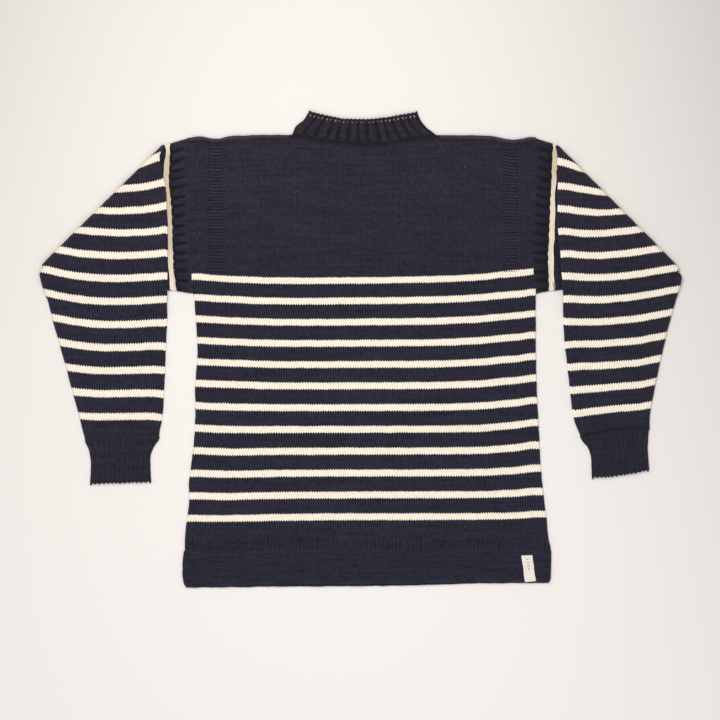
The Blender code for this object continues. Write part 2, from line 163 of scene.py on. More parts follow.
def finishCloth(name, bm, material, node, thickness=cloth["thickness"], flip=False):
    if flip:
        bmesh.ops.reverse_faces(bm, faces=bm.faces)
    mesh = bpy.data.meshes.new(name)
    bm.to_mesh(mesh)
    bm.free()
    mesh.shade_smooth()
    piece = bpy.data.objects.new(name, mesh)
    bpy.context.scene.collection.objects.link(piece)
    mesh.materials.append(material)
    wall = piece.modifiers.new("Cloth thickness", "SOLIDIFY")
    wall.thickness = thickness * 0.001
    wall.offset = -1
    evaluated = piece.evaluated_get(bpy.context.evaluated_depsgraph_get())
    solid = bpy.data.meshes.new_from_object(evaluated)
    for vertex in solid.vertices:
        vertex.co.z = max(vertex.co.z, 0.0)  # nothing goes below the surface it lies on
    piece.modifiers.clear()
    piece.data = solid
    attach(piece, "root")
    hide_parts(node)
    return piece


# Materials
yarn = {
    "navy": (0.0243, 0.0234, 0.0460, 1),
    "navyYokeAndWarmLight": (0.0312, 0.0255, 0.0452, 1),  # the yoke is a touch redder: partly the yarn, partly painted warm light
    "cream": (0.98, 0.885, 0.76, 1),
    "creamShadeColour": (0.28, 0.19, 0.075, 1),  # painted shade colour for cream in gaps, ribs and folds
    "fleck": (0.55, 0.5, 0.52, 1),
    "fleckSize": 0.13,
    "fleckRarity": 0.965,
    "roughness": 0.92,
    "sheen": 0.12,
    "sheenRoughness": 0.45,
    "lean": 0.8,  # of a stitch's two legs
    "stitchDepth": 0.0009,
    "gapShade": 0.8,  # painted shade in the gaps between stitches: how much it darkens them
    "deepShade": 0.8,  # how much more painted shade the gaps get down in a rib or fold
    "paleShade": (0.22, 0.62),  # the same painted shade on cream, as a share: on top, and what depth adds
    "crestHighlight": 2.2,  # painted highlight: how much lighter crests marked below 0 in the painted shading are
    "heather": 0.5,
    "streaks": 1.1,
    "lint": 0.28,
}


def addNode(tree, kind, inputs=None, **settings):
    node = tree.nodes.new(kind)
    for name, value in settings.items():
        setattr(node, name, value)
    for socket, value in (inputs or {}).items():
        if isinstance(value, bpy.types.NodeSocket):
            tree.links.new(value, node.inputs[socket])
        else:
            node.inputs[socket].default_value = value
    return node


def calc(tree, operation, *values, clamp=False):
    node = addNode(tree, "ShaderNodeMath", dict(enumerate(values)), operation=operation)
    node.use_clamp = clamp
    return node.outputs[0]


def mixValues(tree, factor, first, second):
    return addNode(tree, "ShaderNodeMix", {0: factor, 2: first, 3: second}).outputs[0]


def blendColours(tree, factor, first, second):
    return addNode(tree, "ShaderNodeMix", {0: factor, 6: first, 7: second}, data_type="RGBA").outputs[2]


def fromMiddle(tree, value):  # 0 in the middle of each unit, 0.5 at its ends
    return calc(tree, "ABSOLUTE", calc(tree, "SUBTRACT", calc(tree, "FRACT", value), 0.5))


def power(tree, value, scale, exponent):
    return calc(tree, "POWER", calc(tree, "MULTIPLY", value, scale), exponent)


def newGroup(name, inputs, outputs):
    group = bpy.data.node_groups.new(name, "ShaderNodeTree")
    for label, kind in inputs:
        group.interface.new_socket(name=label, in_out="INPUT", socket_type="NodeSocket" + kind)
    for label, kind in outputs:
        group.interface.new_socket(name=label, in_out="OUTPUT", socket_type="NodeSocket" + kind)
    return group, group.nodes.new("NodeGroupInput").outputs, group.nodes.new("NodeGroupOutput").inputs


def stockinetteGroup():  # V stitches, from a map counted in knitted columns and rows
    group, given, out = newGroup(
        "Stockinette", [("Stitches", "Vector"), ("Lean", "Float")],
        [("Height", "Float"), ("Row", "Float"), ("Tone", "Float")])
    split = addNode(group, "ShaderNodeSeparateXYZ", {0: given["Stitches"]})
    leg = calc(group, "MULTIPLY", fromMiddle(group, split.outputs[0]), 2.0)
    tilted = calc(group, "MULTIPLY", calc(group, "SUBTRACT", leg, 0.5), given["Lean"])
    place = calc(group, "ADD", tilted, split.outputs[1])
    row = calc(group, "FLOOR", place)
    group.links.new(place, out["Row"])
    middleDip = calc(group, "MULTIPLY_ADD", leg, -2.0, 1.0, clamp=True)
    middleDip = calc(group, "MULTIPLY", calc(group, "POWER", middleDip, 2.0), 0.4)
    sideDip = calc(group, "MULTIPLY", calc(group, "POWER", leg, 3.0), 0.92)
    rowDip = calc(group, "MULTIPLY", power(group, fromMiddle(group, place), 2.0, 2.5), 0.8)
    height = calc(group, "SUBTRACT", 1.0, rowDip)
    for dip in (middleDip, sideDip):
        height = calc(group, "MULTIPLY", height, calc(group, "SUBTRACT", 1.0, dip))
    group.links.new(height, out["Height"])
    group.links.new(stitchTone(group, calc(group, "FLOOR", split.outputs[0]), row), out["Tone"])
    return group


def stitchTone(group, column, row):  # each stitch a little lighter or darker than the next
    stitch = addNode(group, "ShaderNodeCombineXYZ", {0: column, 1: row})
    return addNode(group, "ShaderNodeTexWhiteNoise", {"Vector": stitch.outputs[0]}).outputs["Value"]


def purlGroup():  # garter ridges, one each two rows, of purl bumps offset by half a column
    group, given, out = newGroup(
        "Purl bumps", [("Stitches", "Vector")], [("Height", "Float"), ("Tone", "Float")])
    split = addNode(group, "ShaderNodeSeparateXYZ", {0: given["Stitches"]})
    ridges = calc(group, "MULTIPLY", split.outputs[1], 0.5)
    row = calc(group, "FLOOR", ridges)
    shifted = calc(group, "MULTIPLY_ADD", row, 0.5, split.outputs[0])
    column = calc(group, "SUBTRACT", 1.0, power(group, fromMiddle(group, shifted), 2.0, 2.5))
    along = calc(group, "SUBTRACT", 1.0, power(group, fromMiddle(group, ridges), 2.0, 2.0))
    height = calc(group, "MULTIPLY", along, calc(group, "MULTIPLY_ADD", column, 0.85, 0.15))
    group.links.new(height, out["Height"])
    group.links.new(stitchTone(group, calc(group, "FLOOR", shifted), row), out["Tone"])
    return group


def stripeGroup():  # 1 on the rows of a stripe: so many rows of each repeat, from the first to the last
    group, given, out = newGroup(
        "Stripe rows",
        [("Row", "Float"), ("First", "Float"), ("Last", "Float"), ("Repeat", "Float"), ("Depth", "Float")],
        [("Stripe", "Float")])
    past = calc(group, "SUBTRACT", given["Row"], given["First"])
    within = calc(group, "FLOORED_MODULO", past, given["Repeat"])
    half = calc(group, "MULTIPLY", given["Depth"], 0.5)
    offMiddle = calc(group, "ABSOLUTE", calc(group, "SUBTRACT", within, half))
    lit = calc(group, "LESS_THAN", offMiddle, calc(group, "SUBTRACT", half, 0.2))
    started = calc(group, "GREATER_THAN", past, 0.0)
    going = calc(group, "LESS_THAN", given["Row"], given["Last"])
    group.links.new(calc(group, "MULTIPLY", lit, calc(group, "MULTIPLY", started, going)), out["Stripe"])
    return group


def woolGroup():  # carded wool: heathered fibres, uneven rows, pale flecks of lint, a redder yoke that is partly painted warm light, and painted shade
    group, given, out = newGroup(
        "Wool",
        [("Lower", "Color"), ("Upper", "Color"), ("Pale", "Color"), ("Place", "Vector"),
         *((label, "Float") for label in
           ("Stripe", "Tone", "Shade", "Pale shade", "Heather", "Streaks", "Lint"))],
        [("Colour", "Color"), ("Fuzz", "Float")])
    # Towards the yoke the navy turns redder: partly the yarn, partly painted warm light
    up = addNode(group, "ShaderNodeSeparateXYZ", {0: given["Place"]}).outputs[1]
    patch = addNode(group, "ShaderNodeTexNoise", {"Vector": given["Place"], "Scale": 16.0, "Detail": 2.0})
    up = calc(group, "MULTIPLY_ADD", patch.outputs[0], 0.3, calc(group, "SUBTRACT", up, 0.09))
    yoke = addNode(group, "ShaderNodeMapRange", {0: up, 1: 0.14, 2: 0.34}, interpolation_type="SMOOTHSTEP")
    colour = blendColours(group, yoke.outputs[0], given["Lower"], given["Upper"])
    colour = blendColours(group, given["Stripe"], colour, given["Pale"])
    fibre = addNode(group, "ShaderNodeTexNoise", {"Vector": given["Place"], "Scale": 1400.0, "Detail": 2.0})
    mottle = addNode(group, "ShaderNodeTexNoise", {"Vector": given["Place"], "Scale": 130.0, "Detail": 3.0})
    flat = addNode(group, "ShaderNodeVectorMath", {0: given["Place"], 1: (14.0, 240.0, 60.0)},
                   operation="MULTIPLY")
    row = addNode(group, "ShaderNodeTexNoise", {"Vector": flat.outputs[0], "Scale": 1.0, "Detail": 3.0})
    spread = calc(group, "MULTIPLY_ADD", given["Stripe"], -0.85, 1.0)
    tone = calc(group, "MULTIPLY", calc(group, "SUBTRACT", given["Tone"], 0.5), 0.5)
    blotches = calc(group, "MULTIPLY", given["Heather"], 0.5)
    for noiseNode, strength in ((fibre, given["Heather"]), (mottle, blotches), (row, given["Streaks"])):
        tone = calc(group, "MULTIPLY_ADD", calc(group, "SUBTRACT", noiseNode.outputs[0], 0.5), strength, tone)
    toned = addNode(group, "ShaderNodeHueSaturation",
                    {"Color": colour, "Value": calc(group, "MULTIPLY_ADD", tone, spread, 1.0)})
    bent = addNode(
        group, "ShaderNodeVectorMath", {0: fibre.outputs[1], 1: (0.003, 0.003, 0.003), 2: given["Place"]},
        operation="MULTIPLY_ADD")
    cells = addNode(group, "ShaderNodeTexVoronoi", {"Vector": bent.outputs[0], "Scale": 190.0})
    speck = calc(group, "LESS_THAN", cells.outputs["Distance"], yarn["fleckSize"])
    draw = addNode(group, "ShaderNodeSeparateColor", {0: cells.outputs["Color"]}).outputs[0]
    rare = calc(group, "GREATER_THAN", draw, yarn["fleckRarity"])
    fleck = calc(group, "MULTIPLY", calc(group, "MULTIPLY", speck, rare), given["Lint"])
    flecked = blendColours(group, fleck, toned.outputs[0], yarn["fleck"])
    # Painted shade: towards black on navy and towards a warm brown on cream
    share = mixValues(group, given["Stripe"], 1.0, given["Pale shade"])
    depth = calc(group, "MULTIPLY", given["Shade"], share)
    shadeColour = blendColours(group, given["Stripe"], (0.0, 0.0, 0.0, 1), yarn["creamShadeColour"])
    group.links.new(blendColours(group, depth, flecked, shadeColour), out["Colour"])
    group.links.new(fibre.outputs[0], out["Fuzz"])
    return group


stockinette = stockinetteGroup()
purl = purlGroup()
stripeRows = stripeGroup()
wool = woolGroup()


def woolMaterial(name, look):
    material = bpy.data.materials.new(name)
    material.use_nodes = True
    tree = material.node_tree
    shader = tree.nodes["Principled BSDF"]
    place = addNode(tree, "ShaderNodeTexCoord").outputs["Object"]
    counted = addNode(tree, "ShaderNodeUVMap", uv_map="UVMap").outputs[0]
    knit = addNode(tree, "ShaderNodeGroup", {"Stitches": counted, "Lean": look.get("lean", yarn["lean"])},
                   node_tree=stockinette)
    beads = addNode(tree, "ShaderNodeGroup", {"Stitches": counted}, node_tree=purl)
    kind = addNode(tree, "ShaderNodeAttribute", attribute_name="stitchKind").outputs["Fac"]
    height = mixValues(tree, kind, knit.outputs["Height"], beads.outputs["Height"])
    height = mixValues(tree, calc(tree, "SUBTRACT", kind, 1.0), height, 1.0)
    height = mixValues(tree, look.get("stitchShow", 1.0), 1.0, height)
    pale = 0.0
    for first, last, repeat, depth in look.get("stripes", ()):
        rows = {"Row": knit.outputs["Row"], "First": first, "Last": last, "Repeat": repeat, "Depth": depth}
        stripe = addNode(tree, "ShaderNodeGroup", rows, node_tree=stripeRows)
        pale = calc(tree, "MAXIMUM", pale, stripe.outputs[0])
    # Painted shade from the mesh; below 0 it is a painted highlight, added to the stitch tone
    paintedShading = addNode(tree, "ShaderNodeAttribute", attribute_name="paintedShading").outputs["Fac"]
    lift = calc(tree, "MAXIMUM", calc(tree, "MULTIPLY", paintedShading, -yarn["crestHighlight"]), 0.0)
    paintedShading = calc(tree, "MAXIMUM", paintedShading, 0.0)
    # Painted shade in the gaps between stitches, with more of it down in ribs and folds
    darkening = calc(tree, "MULTIPLY_ADD", paintedShading, -look.get("deepShade", yarn["deepShade"]), 1.0)
    gap = calc(tree, "SUBTRACT", 1.0, calc(tree, "MULTIPLY", height, darkening), clamp=True)
    fibres = addNode(tree, "ShaderNodeGroup", {
        "Lower": yarn["navy"], "Upper": yarn["navyYokeAndWarmLight"], "Pale": yarn["cream"],
        "Stripe": pale, "Place": place, "Tone": calc(tree, "ADD", knit.outputs["Tone"], lift),
        "Shade": calc(tree, "MULTIPLY", gap, yarn["gapShade"]),
        "Pale shade": calc(tree, "MULTIPLY_ADD", paintedShading, yarn["paleShade"][1], yarn["paleShade"][0]),
        "Heather": yarn["heather"], "Streaks": yarn["streaks"], "Lint": yarn["lint"],
    }, node_tree=wool)
    tree.links.new(fibres.outputs["Colour"], shader.inputs["Base Color"])
    shader.inputs["Roughness"].default_value = yarn["roughness"]
    shader.inputs["Sheen Weight"].default_value = yarn["sheen"]
    shader.inputs["Sheen Roughness"].default_value = yarn["sheenRoughness"]
    shader.inputs["Specular IOR Level"].default_value = 0.2
    relief = calc(tree, "MULTIPLY_ADD", fibres.outputs["Fuzz"], 0.35, height)
    raised = addNode(
        tree, "ShaderNodeBump", {"Height": relief, "Distance": yarn["stitchDepth"], "Strength": 0.9})
    tree.links.new(raised.outputs[0], shader.inputs["Normal"])
    return material


# A stripe is its first and last row, the rows of a repeat and the pale ones among them
bodyWool = woolMaterial("Striped body wool", {"stripes": [(0, 143, 12, 4)]})
sleeveWool = woolMaterial(
    "Striped sleeve wool", {"stripes": [(0, 143, 12, 4), (-14, -11, 12, 3)], "lean": -yarn["lean"]})
ribWool = woolMaterial("Navy rib wool", {"deepShade": 1.0})
bandWool = woolMaterial("Navy band wool", {"deepShade": 1.0, "stitchShow": 0.45})
garterWool = woolMaterial("Navy garter wool", {"deepShade": 0.6, "stitchShow": 0.5})
print("materials made")


# Body: front and back, from the shoulder seams to the welts
body = {
    "width": 537.6,  # of the flat grid
    "columnCell": 5.5,
    "underarm": 84.0,  # below this the side edges are rolled
    "underarmEase": 6.0,
    "crown": 1.6,
    "crownAtEnds": 0.35,
    "crownFade": 70.0,
    "shoulderTop": 329.0,
    "shoulderBand": 11.5,  # below this the shoulder's slope eases out
    "yokeFade": 150.0,
    "neckEase": 7.2,
    "garterTop": 317.5,
    "garterPitch": 5.06,
    "garterRidges": 40,
    "garterHeight": 1.3,
    "hemBandTop": -285.0,
    "hemBottom": -311.4,
    "weltBottom": -366.9,
    "hemRibPitch": 6.4,
    "hemRibHeight": 1.1,
    "stitchPitch": 3.8,  # slanted stitches along the shoulder seam
    "stitchHeight": 0.7,
}
garterColumns = ((-235.6, -210.9), (219.5, 243.3))
shoulderRidge = (
    # below the edge, height
    (0.0, 0.0), (1.3, 0.8), (2.55, 1.5), (4.0, 1.6), (5.5, 0.8), (7.0, -0.8), (8.6, 0.2),
    (10.3, 0.9), (12.0, 0.5), (14.0, 0.0),
)
bodySides = sorted((
    # y, left, right
    (329.0, -266.5, 271.1), (317.5, -266.5, 271.1), (277.0, -266.5, 270.6), (236.5, -266.2, 269.4),
    (196.1, -265.4, 267.2), (155.6, -263.8, 266.3), (115.1, -261.4, 267.6), (90.0, -258.8, 270.6),
    (76.5, -257.2, 271.1), (-0.8, -252.6, 271.2), (-62.6, -255.7, 272.7), (-108.9, -255.7, 275.0),
    (-155.3, -258.8, 277.3), (-201.6, -265.0, 280.4), (-236.0, -265.5, 284.5), (-263.4, -268.8, 288.1),
    (-290.0, -271.6, 290.3), (-311.3, -271.9, 294.8),
))
shoulderEdge = (
    # x, y
    (-266.5, 327.4), (-248.0, 329.9), (-221.7, 326.0), (-201.6, 330.6), (-105.8, 332.2),
    (118.2, 331.4), (200.1, 330.6), (234.1, 324.8), (261.9, 328.4), (271.1, 328.2),
)
neckline = (
    # x, front y, back y, collar's top y
    (-105.8, 332.2, 332.2, 367.0), (-75.0, 326.2, 330.0, 361.5), (-40.0, 319.8, 328.6, 356.0),
    (0.0, 316.2, 328.0, 354.4), (40.0, 318.0, 328.4, 356.0), (80.0, 325.6, 330.0, 361.0),
    (118.2, 331.4, 331.4, 366.0),
)
neckLeft, neckRight = neckline[0][0], neckline[-1][0]
# Where the knitted rows lie: the row's number, then its y at each x of rowColumns
rowColumns = (-252.6, -201.6, -124.4, -0.8, 122.8, 184.6, 215.5, 238.7, 254.2, 263.4)
bodyRows = (
    (-85, *[327.0] * 10),
    (0, 118.0, 114.0, 111.5, 111.9, 114.2, 117.0, 120.7, 122.7, 124.4, 125.5),
    (12, 86.1, 83.0, 80.3, 80.8, 82.7, 85.9, 89.0, 91.0, 92.4, 94.2),
    (60, -46.4, -48.2, -50.4, -50.4, -49.7, -47.1, -44.0, -42.2, -39.9, -38.3),
    (96, -150.3, -152.5, -151.6, -151.4, -150.9, -150.2, -147.9, -146.0, -143.4, -141.7),
    (132, -255.4, -255.7, -253.7, -252.8, -252.6, -252.4, -251.8, -251.1, -250.3, -249.1),
    (153, -312.0, -312.0, -312.0, -311.0, -310.0, -309.0, -308.0, -307.0, -306.0, -305.0),
)
roll = math.acos(innerRadius / edgeRadius)


def rowNumber(rows, columns, x, y):  # which knitted row passes through a point
    heights = [(curve(list(zip(columns, row[1:])), x), row[0]) for row in rows]
    for (upper, first), (lower, second) in zip(heights, heights[1:]):
        if y >= lower or second == heights[-1][1]:
            return mix(first, second, (upper - y) / (upper - lower))


def crown(share, y):  # the cloth swells between its two sides
    ends = smooth(min(body["shoulderTop"] - y, y - body["weltBottom"]) / body["crownFade"])
    return body["crown"] * 4 * share * (1 - share) * mix(body["crownAtEnds"], 1.0, ends)


def rolledEdge(distance, share):  # a quarter round at an edge: how far in, and how high from 0 to 1
    if distance >= edgeRadius:
        return distance, 1.0
    angle = (1 - distance / edgeRadius) * roll
    out = edgeRadius - edgeRadius * math.sin(angle)
    return mix(distance, out, share), mix(1.0, math.cos(angle), share)


def panelPlan(a, d, neckColumn):  # where a point of the flat grid lies, seen from above
    left, right = curve(bodySides, d, 1), curve(bodySides, d, 2)
    rolling = smooth((body["underarm"] - d) / body["underarmEase"])
    fromLeft, fromRight = a * body["width"], (1 - a) * body["width"]
    sideHigh = 1.0
    if fromLeft < edgeRadius:
        out, sideHigh = rolledEdge(fromLeft, rolling)
        x = left + out
    elif fromRight < edgeRadius:
        out, sideHigh = rolledEdge(fromRight, rolling)
        x = right - out
    else:
        inner = (fromLeft - edgeRadius) / (body["width"] - 2 * edgeRadius)
        x = mix(left + edgeRadius, right - edgeRadius, inner)
    ease = body["neckEase"]
    neck = smooth((x - neckLeft + ease) / ease) * smooth((neckRight + ease - x) / ease)
    inNeck = neckLeft <= x <= neckRight
    edgeY = straight(neckline, x, neckColumn) if inNeck else curve(shoulderEdge, x)
    below = body["shoulderTop"] - d
    if below < body["shoulderBand"]:
        out, topHigh = rolledEdge(below, 1 - neck)
        y = edgeY - out
    else:
        topHigh = 1.0
        fade = 1 - smooth((below - body["shoulderBand"]) / body["yokeFade"])
        y = d + (edgeY - body["shoulderTop"]) * fade
    return x, y, sideHigh * topHigh, neck, below


def ropeTicks(x, below):  # the slanted stitches along the shoulder seams
    wave = 0.5 + 0.5 * math.cos(2 * math.pi * (x + 0.6 * below) / body["stitchPitch"])
    return wave * smooth(below / 1.0) * smooth((6.4 - below) / 1.4)


def garterRelief(x, d):  # the two columns of garter stitch in the yoke: how far inside, and how high
    below = body["garterTop"] - d
    if not 0 <= below <= body["garterPitch"] * body["garterRidges"]:
        return 0.0, 0.0
    inColumn = max(smooth((x - low) / 2.5) * smooth((high - x) / 2.5) for low, high in garterColumns)
    wave = 0.5 - 0.5 * math.cos(2 * math.pi * below / body["garterPitch"])
    row = math.floor(below / body["garterPitch"])
    beads = 0.5 + 0.5 * math.cos(2 * math.pi * (x / cloth["wale"] + 0.5 * row))
    return inColumn, wave * mix(0.1, 1.0, beads)


def hemRibRelief(x, d):  # a band of short upright tucks above the welt, no two quite alike
    rib = (x - bodySides[0][1]) / body["hemRibPitch"]
    jitter = noise.noise(Vector((math.floor(rib) * 1.7, 0.5, 3.0)))
    top = body["hemBandTop"] - 3 - 6 * abs(jitter)
    place = smooth((top - d) / 5) * smooth((d - body["hemBottom"] - 1) / 3)
    strength = 0.75 + 1.1 * noise.noise(Vector((math.floor(rib) * 2.3, 4.5, 3.0)))
    off = abs((rib + 0.25 * jitter) % 1.0 - 0.5) * 2
    return place * min(max(strength, 0.4), 1.0), 1 - bump(1 - off, 0.5)


# Soft creases, listed one by one
frontCreases = (
    # middle x, middle y, direction, half length, half width, height
    (-196, 60, 12, 70, 16, -0.5), (196, 92, 168, 60, 14, 0.5), (-60, -30, 4, 120, 20, 0.35),
    (120, -120, 176, 110, 18, -0.4), (-170, -190, 8, 90, 16, 0.4), (30, 240, 178, 130, 22, 0.35),
    (250, -215, 100, 60, 10, -0.5), (-240, -225, 84, 55, 10, -0.4),
)
backCreases = (
    (-150, 120, 10, 90, 18, 0.5), (160, 40, 172, 90, 18, 0.5), (0, -110, 3, 140, 20, 0.4),
    (100, 250, 176, 100, 20, 0.4),
)


def creaseHeight(creases, x, y):
    height = 0.0
    for middleX, middleY, turn, halfLength, halfWidth, rise in creases:
        c, s = math.cos(math.radians(turn)), math.sin(math.radians(turn))
        alongIt = (x - middleX) * c + (y - middleY) * s
        acrossIt = (y - middleY) * c - (x - middleX) * s
        height += rise * bump(alongIt, halfLength) * bump(acrossIt, halfWidth)
    return height


def unevenness(x, y):  # hand-knitted cloth never lies quite level
    return (0.22 * noise.noise(Vector((x * 0.022, y * 0.05, 0.0)))
            + 0.12 * noise.noise(Vector((x * 0.07, y * 0.16, 5.0))))


def sideFade(a):
    return smooth(min(a, 1 - a) * body["width"] / 12)


def frontPoint(a, d):
    x, y, high, neck, below = panelPlan(a, d, 1)
    z = edgeRadius + edgeRadius * high
    away = sideFade(a) * smooth((d - body["hemBottom"]) / 10)
    z += crown(a, y) + (creaseHeight(frontCreases, x, y) + unevenness(x, y)) * away
    if below < 14:
        rope = curve(shoulderRidge, below) + body["stitchHeight"] * (ropeTicks(x, below) - 0.6)
        z += rope * (1 - neck)
    inColumn, wave = garterRelief(x, d)
    z += inColumn * wave * body["garterHeight"]
    band, wave = hemRibRelief(x, d)
    z += band * wave * body["hemRibHeight"]
    return x, y, z


def frontShade(a, d):  # painted shade above 0, painted highlight below 0
    x, y, high, neck, below = panelPlan(a, d, 1)
    # Painted shade in the furrow below the shoulder ridge, in the slits and along the collar's foot
    shade = 0.9 * bump(below - 7.2, 2.2) * (1 - neck)
    slits = 0.4 * bump(below - 6, 6) * (0.5 + 0.5 * math.cos(2 * math.pi * x / cloth["wale"]))
    underCollarShade = neck * (slits + 0.95 * bump(below, 7))
    # Along the shoulder seam: painted shade at the edge, painted highlight on the slanted stitches
    if below < 6.4:
        return mix(1.0, -1.5, ropeTicks(x, below) ** 1.6) * (1 - neck) + underCollarShade
    # Painted shade between the garter ridges and the hem tucks, painted highlight on their crests
    inColumn, wave = garterRelief(x, d)
    if inColumn:
        return max(shade, inColumn * mix(1.3, -0.9, wave ** 0.8))
    band, hemWave = hemRibRelief(x, d)
    return max(shade, underCollarShade + band * mix(1.3, -0.6, hemWave))


def frontKind(a, d):
    x, y, high, neck, below = panelPlan(a, d, 1)
    if below < 8.5:
        return 2.0 * (1 - neck)
    return 2.0 * garterRelief(x, d)[0]


def backPoint(a, d):
    x, y, high, neck, below = panelPlan(a, d, 2)
    z = edgeRadius - edgeRadius * high
    z += max(0.0, creaseHeight(backCreases, x, y)) * sideFade(a)
    inColumn, wave = garterRelief(x, d)
    z += inColumn * (1 - wave) * body["garterHeight"]
    band, wave = hemRibRelief(x, d)
    z += band * (1 - wave) * body["hemRibHeight"]
    return x, y, z


def backShade(a, d):
    # Painted shade between the garter ridges, painted highlight on them
    inColumn, wave = garterRelief(panelPlan(a, d, 2)[0], d)
    return inColumn * mix(1.1, -0.7, wave)


def backKind(a, d):
    return 2.0 * garterRelief(panelPlan(a, d, 2)[0], d)[0]


def bodyStitch(neckColumn):
    def stitchAt(a, d):
        x, y = panelPlan(a, d, neckColumn)[:2]
        return x / cloth["wale"], rowNumber(bodyRows, rowColumns, x, y)
    return stitchAt


def bodyGrid(shoulderCuts, garterCuts, hemCuts):
    across = stops(body["columnCell"] / body["width"],
                   [step / body["width"] for step in (0.0, 0.4, 1.0, 1.7, 2.55, 4.5)])
    yokeBottom = body["garterTop"] - body["garterPitch"] * body["garterRidges"]
    down = [body["shoulderTop"] - step
            for step in (0.0, 0.4, 1.0, 1.7, 2.55, 4.0, 5.5, 7.0, 8.5, 9.7, 10.5)]
    down += [body["garterTop"] - body["garterPitch"] * k for k in range(body["garterRidges"])]
    down += spread(round((yokeBottom - body["hemBandTop"]) / 5.5), yokeBottom, body["hemBandTop"])[:-1]
    down += spread(8, body["hemBandTop"], body["hemBottom"])
    bm = stopGrid(across, down[::-1])
    for low, high in garterColumns:
        lowShare, highShare = ((x - bodySides[-1][1]) / body["width"] for x in (low - 8, high + 8))
        refine(bm, (lowShare, highShare), (yokeBottom - 1, body["garterTop"] + 1), garterCuts)
    if shoulderCuts:
        refineAcross(bm, (317.0, 329.5), shoulderCuts)
    refineAcross(bm, (body["hemBottom"] - 1, body["hemBandTop"] + 1), hemCuts)
    return bm


def refineAcross(bm, downRange, cuts):  # cuts only the edges that run across
    edges = []
    for edge in bm.edges:
        first, second = (vertex.co for vertex in edge.verts)
        level = abs(first.y - second.y) < 0.001 and downRange[0] <= first.y <= downRange[1]
        if level and edge.calc_length() > 0.006:
            edges.append(edge)
    bmesh.ops.subdivide_edges(bm, edges=edges, cuts=cuts, use_grid_fill=True)


bm = bodyGrid(5, 5, 5)
layCloth(bm, frontPoint, bodyStitch(1), frontShade, frontKind)
front = finishCloth("Front", bm, bodyWool, "front")
bm = bodyGrid(0, 3, 3)
layCloth(bm, backPoint, bodyStitch(2), backShade, backKind)
back = finishCloth("Back", bm, bodyWool, "back", flip=True)
print("body made:", len(front.data.polygons), "and", len(back.data.polygons), "faces")


# Flattened tubes: a is 0 to 1 over the top, 1 to 2 round one end, 2 to 3 back below, 3 to 4 round the other


def tubeGrid(upperCount, turnCount, down):
    counts = (upperCount, turnCount, upperCount, turnCount)
    return stopGrid([part + k / counts[part] for part in range(4) for k in range(counts[part])] + [4.0], down)


def tubeShare(a):  # how far from one side of the tube to the other
    return min(a, 1.0) if a < 2 else max(3 - a, 0.0)


def roundTube(a, lineAt):  # x, y, z, the share across, and how far round the turn
    share = tubeShare(a)
    x, y = lineAt(share)
    if a <= 1 or 2 <= a <= 3:
        return x, y, (2 * edgeRadius if a <= 1 else 0.0), share, 0.0
    angle = math.pi * (a - (1 if a < 2 else 3))
    nearX, nearY = lineAt(abs(share - 0.015))
    out = edgeRadius * math.sin(angle) / math.dist((x, y), (nearX, nearY))
    up = math.cos(angle) if a < 2 else -math.cos(angle)
    arc = edgeRadius * min(angle, math.pi - angle)
    return x + (x - nearX) * out, y + (y - nearY) * out, edgeRadius + edgeRadius * up, share, arc


def finishTube(name, bm, lay, material, node, thickness=cloth["thickness"]):
    layCloth(bm, *lay)
    bmesh.ops.remove_doubles(bm, verts=bm.verts, dist=0.00002)
    bmesh.ops.recalc_face_normals(bm, faces=bm.faces)
    return finishCloth(name, bm, material, node, thickness)


def ribWave(place, valley=0.35):  # rounded ribs, one each unit, with a groove as wide as the valley
    off = abs((place - 0.41 + 0.5) % 1.0 - 0.5)  # 0 on the crest, 0.5 in the groove
    return smooth((0.5 - off) / (valley * 0.9 + 0.12))


# Collar
collar = {
    "height": 38.0,
    "middleWidth": 190.0,
    "topLeft": -80.2,
    "topRight": 88.2,
    "ribs": 13,
    "ribHeight": 1.3,
    "ribColumns": 12,
    "rows": 32,
    "castOff": 4.4,  # the row of holes, this far below the top edge
    "holeRadius": 2.1,
    "thickness": 2.2,
}
collarSway = (
    # up, left side, right side
    (0.0, 0.0, 0.0), (0.2, -2.5, -3.5), (0.4, -3.5, -6.0), (0.62, 1.0, -5.5), (0.85, 0.5, -2.5),
    (1.0, 0.0, 0.0),
)
collarCreases = (
    (-88, 345, 60, 22, 6, -0.9), (-80, 352, 100, 16, 5, 0.8), (100, 346, 118, 22, 6, -0.9),
    (92, 352, 84, 16, 5, 0.8),
)


def collarLine(share, up, neckColumn):
    baseX = mix(neckLeft + edgeRadius, neckRight - edgeRadius, share)
    left, right = mix(neckLeft, collar["topLeft"], up), mix(neckRight, collar["topRight"], up)
    x = mix(left + edgeRadius, right - edgeRadius, share)
    base = straight(neckline, baseX, neckColumn)
    y = mix(base, curve(neckline, baseX, 3), up)
    scallop = bump(up - 1.0, 0.05) * (0.8 + 0.6 * math.cos(2 * math.pi * (share * collar["ribs"] * 2 - 0.1)))
    x += curve(collarSway, up, 1) * (1 - smooth(share / 0.3))
    x += curve(collarSway, up, 2) * smooth((share - 0.65) / 0.35)
    wander = 1.2 * math.sin(share * 31 + 1) * math.sin(math.pi * up)
    return x + wander * smooth(share / 0.1) * smooth((1 - share) / 0.1), y + scallop + 0.8 * up


